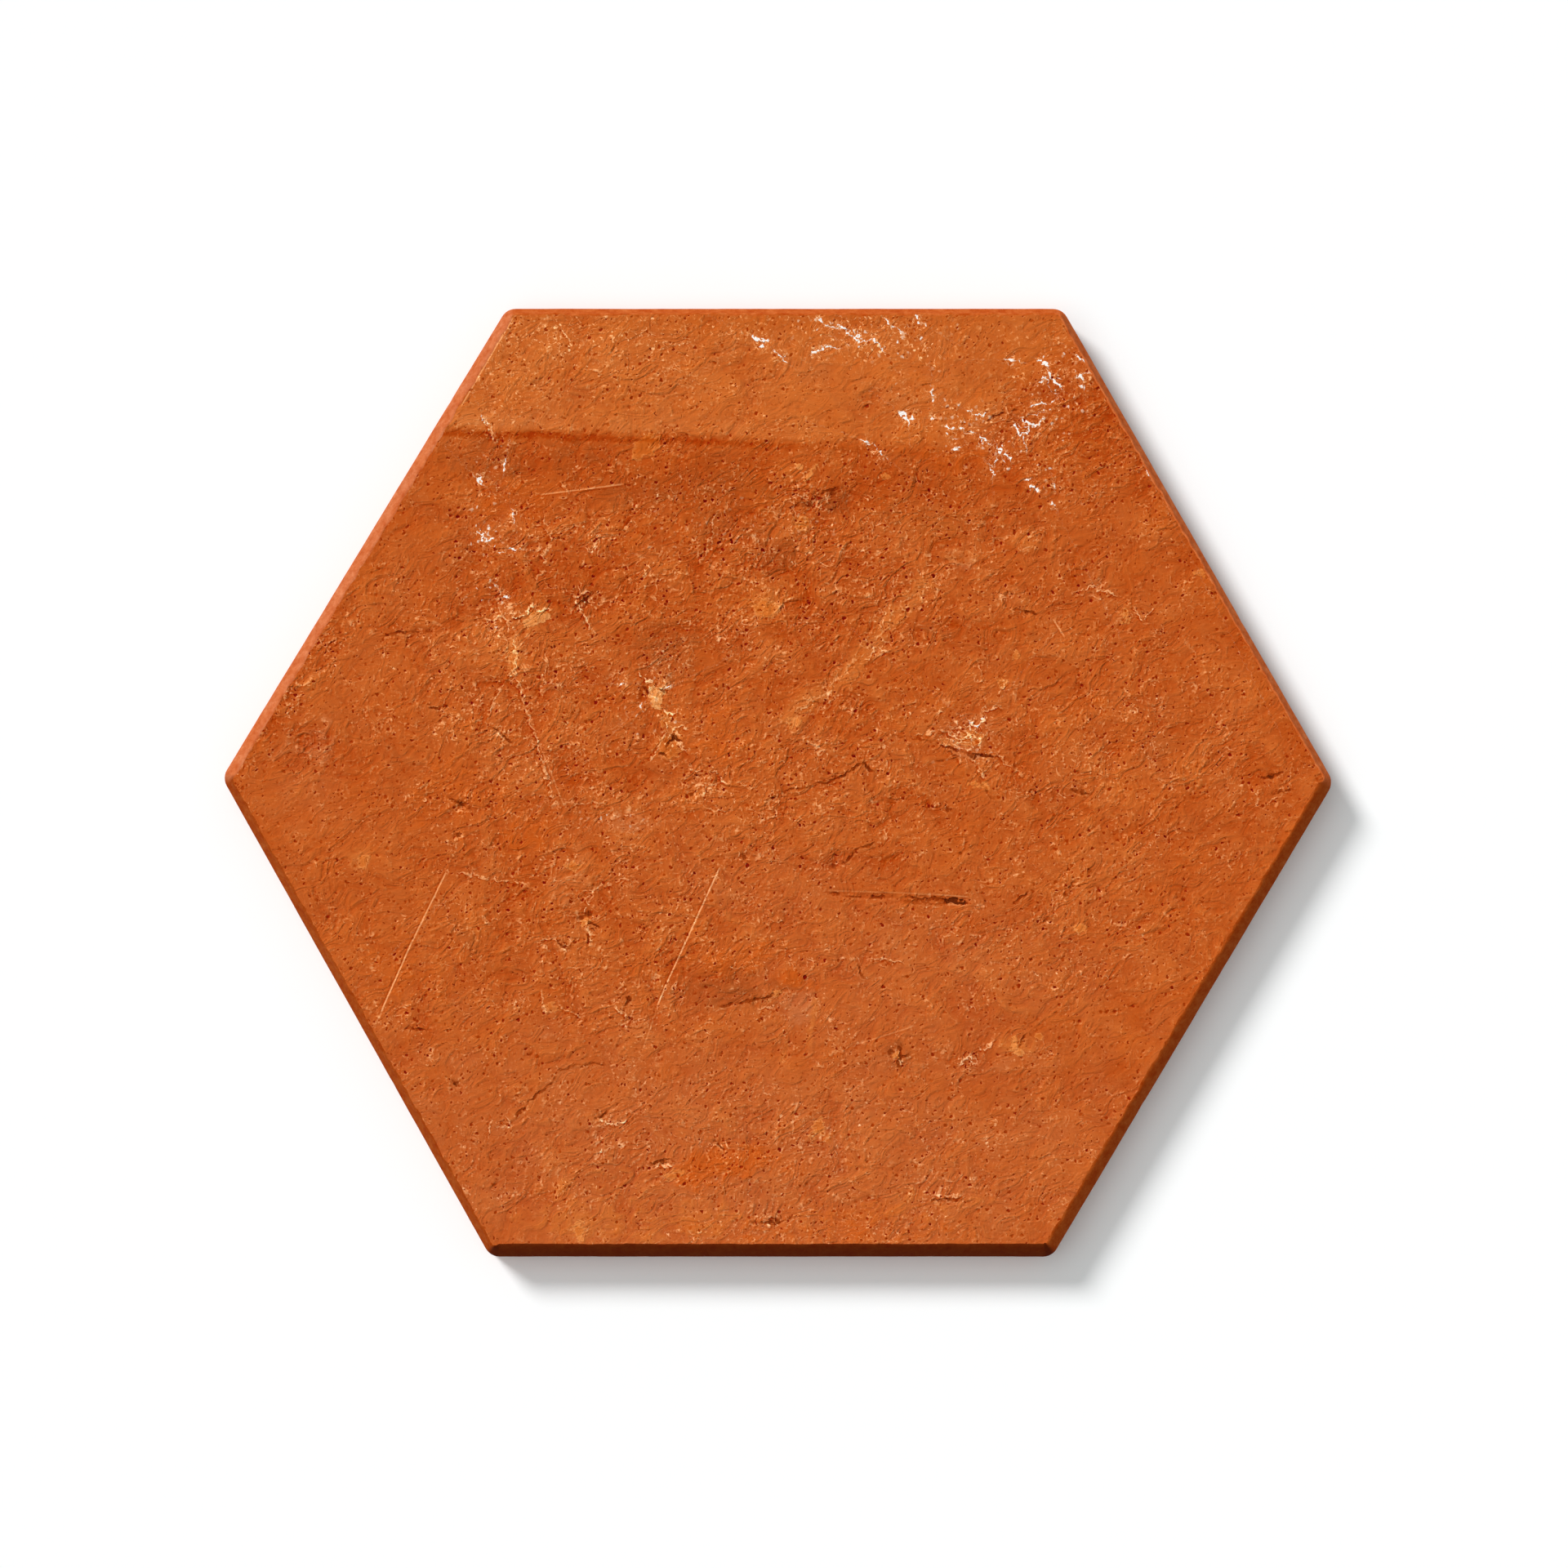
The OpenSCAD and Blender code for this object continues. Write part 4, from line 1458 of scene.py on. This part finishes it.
def face_step(graph, marks, uneven, vigour, flake_rim, ledge):
    """How much paler or darker the marks make the clay, in steps. The dark of pits, chips, cracks
    and gouges, beside burrs and below threads and scratches is painted shade; the bright sides of
    pits and cracks are painted highlight.
    """
    fine = graph.total(
        0.014,
        (marks.hollow, -0.37),
        # The pits' crescents are brightened as a painted highlight.
        (marks.lip, 0.18),
        (marks.grain, 0.37),
        (marks.burrs, 0.31),
        (marks.lee, -0.14),
    )
    return graph.total(
        graph.times(fine, vigour),
        (marks.chipped, -0.13),
        (marks.chip_lip, 0.06),
        (flake_rim, 0.07),
        (graph.mask("dim"), -0.03),
        (ledge_steps(graph, uneven), ledge),
        (marks.scratch["Mask"], 0.24),
        # A thin painted shadow below each scratch.
        (marks.scratch["Lip"], -0.06),
        (marks.thread, marks.thread_step),
        (marks.thread_lee, -0.12),
        (marks.split, -0.12),
        (marks.split_lip, 0.06),
        (marks.gouge, -0.06),
        (marks.lime["Crumbs"], 0.33),
    )


def face_height(graph, marks, body, flake):
    """The fine relief of the face in millimetres."""
    return graph.total(
        body["Height"],
        (marks.burrs, 0.04),
        (body["Scales"], 0.035),
        (marks.hollow, -0.09),
        (marks.chipped, -0.25),
        (marks.thread, 0.08),
        (flake, 0.06),
        (marks.split, -0.2),
        (marks.lime["Mask"], 0.05),
    )


def make_face_clay(finish):
    """The wearing face: mottled clay with pits, burrs, cracks, scratches and lime."""
    material, graph, shader, place = clay_material("Fired clay face")
    place = graph.vector("MULTIPLY", place, (1.0, 1.0, 0.0))
    uneven = graph.minus(graph.flat_noise(place, 1.6, 3.0, 0.6, 0.4), 0.5)
    ledge = graph.mask("ledge")
    torn = graph.mask("torn")
    band = far_band(graph, uneven, ledge)
    coarse = graph.times(graph.mask("coarse"), graph.times_plus(band, -0.3, 1.0))
    body = graph.group("Face clay body", Position=place, Coarseness=coarse)
    colour_now = face_colours(graph, finish, body, band)
    colour_now, flake, flake_rim, pale = with_flakes(graph, finish, uneven, colour_now)
    vigour = face_vigour(graph, place, coarse, torn, pale)
    marks = face_marks(graph, finish, place, uneven, vigour, torn)
    # Painted shade: pits, gouges and cracks darkened towards the pit colour.
    deep = graph.times(marks.hollow, graph.times(vigour, 0.4))
    deep = graph.times_plus(marks.gouge, 0.5, deep)
    deep = graph.times_plus(marks.split, 0.6, deep, clamp=True)
    shaded = {
        "Color": colour_now,
        "Step": face_step(graph, marks, uneven, vigour, flake_rim, ledge),
        "Warmth": graph.times_plus(graph.flat_noise(place, 7.0, 3.0, 0.7, 0.6), 0.06, -0.03),
        "Deep Color": opaque(finish.pit_shade),
        "Deep": deep,
        "Cover Color": opaque(finish.lime),
        "Cover": marks.lime["Mask"],
    }
    colour_now = graph.group("Shade", **shaded)["Color"]
    height = face_height(graph, marks, body, flake)
    roughness = graph.times_plus(body["Tone"], 0.2, 0.75)
    finish_clay(graph, shader, colour_now, height, roughness)
    return material


def make_edge_clay(finish):
    """The bevel and the sides: smoother clay, with painted shade, painted light and a painted
    highlight on the bevels by the side that they face.
    """
    material, graph, shader, place = clay_material("Fired clay edge")
    depth = graph.mask("depth")
    wall = graph.ramp(depth, 2.2, 3.4)
    body = graph.group("Clay body", Position=place, Coarseness=graph.minus(wall, 0.6))
    colour_now = graph.mix(body["Tone"], opaque(finish.bevel), opaque(finish.bevel_light))
    pits = graph.group("Pits", Position=place, Spacing=1.8, Radius=0.4, Share=0.7)["Mask"]
    pits = graph.times(pits, graph.times_plus(wall, 0.8, 0.2))
    # The pits of the edge darkened with painted shade.
    colour_now = graph.mix(graph.times(pits, 0.7), colour_now, opaque(finish.pit_shade))
    # Painted shade on the bevels turned away from the key light.
    burned = graph.times(graph.mask("burned"), graph.ramp(depth, 5.0, 2.0))
    burned = graph.times(burned, 0.75)
    colour_now = graph.mix(burned, colour_now, opaque(finish.burned))
    # Painted light on the upper right and far bevels.
    above = graph.ramp(depth, 3.2, 2.2)
    pale = graph.times(graph.times(graph.mask("pale"), above), 0.4)
    colour_now = graph.mix(pale, colour_now, opaque(finish.painted_light_edge))
    # A painted highlight on the upper left bevel, broken up by noise.
    flecks = graph.noise(place, 4.0, 3.0, 0.6)
    dust = graph.times(graph.times(flecks, 0.36), graph.mask("dust"))
    dust = graph.times(dust, above)
    colour_now = graph.mix(dust, colour_now, opaque(finish.dust))
    grain = graph.noise(place, 1.9, 4.0, 0.8)
    step = graph.times_plus(grain, 0.36, -0.18)
    # The grain is fainter in the painted shade.
    step = graph.times(step, graph.times_plus(burned, -0.7, 1.0))
    colour_now = graph.group("Shade", Color=colour_now, Step=step)["Color"]
    height = graph.times_plus(pits, -0.3, body["Height"])
    roughness = graph.times_plus(body["Tone"], 0.2, 0.7)
    finish_clay(graph, shader, colour_now, height, roughness)
    return material


def make_back_clay(finish):
    """The back: plain rough clay that beds in mortar."""
    material, graph, shader, place = clay_material("Fired clay back")
    body = graph.group("Clay body", Position=place, Coarseness=1.0)
    colour_now = graph.mix(body["Tone"], opaque(finish.red_clay), opaque(finish.orange_clay))
    pits = graph.group("Pits", Position=place, Spacing=2.0, Radius=0.5, Share=0.8)["Mask"]
    # The pits of the back darkened with painted shade.
    colour_now = graph.mix(graph.times(pits, 0.6), colour_now, opaque(finish.pit_shade))
    height = graph.times_plus(pits, -0.35, body["Height"])
    roughness = graph.times_plus(body["Tone"], 0.1, 0.85)
    finish_clay(graph, shader, colour_now, height, roughness)
    return material


# ---------------------------------------------------------------------------------------------
# Operators


class OBJECT_OT_clay_tile(bpy.types.Operator):
    """Build the hexagonal clay tile"""

    bl_idname = "object.clay_tile"
    bl_label = "Clay Tile"
    bl_options = {"REGISTER", "UNDO"}

    def execute(self, context):
        make_shade_group()
        make_pits_group()
        make_burrs_group()
        make_chips_group()
        make_body_group()
        make_bloom_group()
        make_line_group()
        mesh = build_tile_mesh(context.scene.tile_shape)
        finish = context.scene.clay_finish
        mesh.materials.append(make_face_clay(finish))
        mesh.materials.append(make_edge_clay(finish))
        mesh.materials.append(make_back_clay(finish))
        tile = bpy.data.objects.new("fired_clay_tile", mesh)
        context.collection.objects.link(tile)
        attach(tile, "root")
        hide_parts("tile")
        return {"FINISHED"}


def make_floor(stage):
    """A plain pale floor that keeps the shadow of the tile."""
    half = stage.floor_size / 2
    mesh = bpy.data.meshes.new("Studio floor")
    corners = [(-half, -half, 0), (half, -half, 0), (half, half, 0), (-half, half, 0)]
    mesh.from_pydata(corners, [], [(0, 1, 2, 3)])
    floor = bpy.data.objects.new("studio_floor", mesh)
    floor.location.z = TILE_LOW[2]
    material = bpy.data.materials.new("Studio floor")
    material.use_nodes = True
    graph = Graph(material.node_tree)
    shader = material.node_tree.nodes["Principled BSDF"]
    shader.inputs["Base Color"].default_value = opaque(stage.floor_colour)
    shader.inputs["Roughness"].default_value = 1.0
    shader.inputs["Specular IOR Level"].default_value = 0.0
    seen = seen_by_camera(graph)
    shader.inputs["Emission Color"].default_value = (0.7, 1, 1, 1)
    graph.feed(shader.inputs["Emission Strength"], graph.times(seen, stage.floor_glow))
    mesh.materials.append(material)
    return floor


def seen_by_camera(graph):
    """1 for what the camera sees directly, in a mirror or through glass, and 0 for other light."""
    path = graph.node("ShaderNodeLightPath").outputs
    seen = graph.larger(path["Is Camera Ray"], path["Is Glossy Ray"])
    return graph.larger(seen, path["Is Transmission Ray"])


def make_sky(stage):
    """Even light from all round, white where it is seen."""
    world = bpy.data.worlds.new("Studio")
    world.use_nodes = True
    graph = Graph(world.node_tree)
    background = world.node_tree.nodes["Background"]
    background.inputs["Color"].default_value = (1, 1, 1, 1)
    strength = graph.ramp(seen_by_camera(graph), 0.0, 1.0, stage.sky_strength, 1.0)
    graph.feed(background.inputs["Strength"], strength)
    return world


def direction(height, heading):
    """The direction towards something seen at a height above the floor and a heading."""
    level = math.cos(height)
    return Vector((level * math.cos(heading), level * math.sin(heading), math.sin(height)))


def make_lamp(stage, kind):
    """The key or the fill light: a far lamp, as soft as the angle that it spans."""
    name = kind.capitalize() + " light"
    lamp = bpy.data.lights.new(name, "SUN")
    lamp.energy = getattr(stage, kind + "_strength")
    lamp.angle = getattr(stage, kind + "_softness")
    made = bpy.data.objects.new(name, lamp)
    towards = direction(getattr(stage, kind + "_height"), getattr(stage, kind + "_heading"))
    made.rotation_euler = towards.to_track_quat("Z", "Y").to_euler()
    made.location = towards
    return made


def make_camera(stage):
    """A long lens that looks down on the tile from slightly in front of it."""
    lens = bpy.data.cameras.new("Camera")
    lens.lens = stage.camera_lens
    lens.sensor_width = 36
    lens.clip_end = 100
    camera = bpy.data.objects.new("Camera", lens)
    towards = direction(stage.camera_height, math.radians(-90))
    camera.location = Vector(stage.aim) + towards * stage.camera_distance
    camera.rotation_euler = towards.to_track_quat("Z", "Y").to_euler()
    return camera


class SCENE_OT_tile_stage(bpy.types.Operator):
    """Build the floor, the light and the camera"""

    bl_idname = "scene.tile_stage"
    bl_label = "Studio Stage"
    bl_options = {"REGISTER", "UNDO"}

    def execute(self, context):
        scene = context.scene
        stage = scene.studio_stage
        floor = make_floor(stage)
        key = make_lamp(stage, "key")
        fill = make_lamp(stage, "fill")
        camera = make_camera(stage)
        for made in (floor, key, fill, camera):
            context.collection.objects.link(made)
        scene.camera = camera
        scene.world = make_sky(stage)
        scene.view_settings.view_transform = "Standard"
        return {"FINISHED"}


class VIEW3D_PT_clay_tile(bpy.types.Panel):
    """Settings and buttons of the clay tile"""

    bl_idname = "VIEW3D_PT_clay_tile"
    bl_label = "Clay Tile"
    bl_space_type = "VIEW_3D"
    bl_region_type = "UI"
    bl_category = "Clay Tile"

    def draw(self, context):
        layout = self.layout
        for settings, operator in (
            (context.scene.tile_shape, None),
            (context.scene.clay_finish, OBJECT_OT_clay_tile),
            (context.scene.studio_stage, SCENE_OT_tile_stage),
        ):
            box = layout.box()
            for name in settings.__annotations__:
                box.prop(settings, name)
            if operator:
                box.operator(operator.bl_idname)


CLASSES = (
    TileShape,
    ClayFinish,
    StudioStage,
    OBJECT_OT_clay_tile,
    SCENE_OT_tile_stage,
    VIEW3D_PT_clay_tile,
)


def register():
    """Adds the settings, the buttons and the panel."""
    for made in CLASSES:
        bpy.utils.register_class(made)
    bpy.types.Scene.tile_shape = PointerProperty(type=TileShape)
    bpy.types.Scene.clay_finish = PointerProperty(type=ClayFinish)
    bpy.types.Scene.studio_stage = PointerProperty(type=StudioStage)


def unregister():
    """Takes them away again."""
    del bpy.types.Scene.studio_stage
    del bpy.types.Scene.clay_finish
    del bpy.types.Scene.tile_shape
    for made in reversed(CLASSES):
        bpy.utils.unregister_class(made)


def main():
    """Builds the tile and its stage."""
    register()
    bpy.ops.object.clay_tile()
    bpy.ops.scene.tile_stage()


if __name__ == "__main__":
    main()
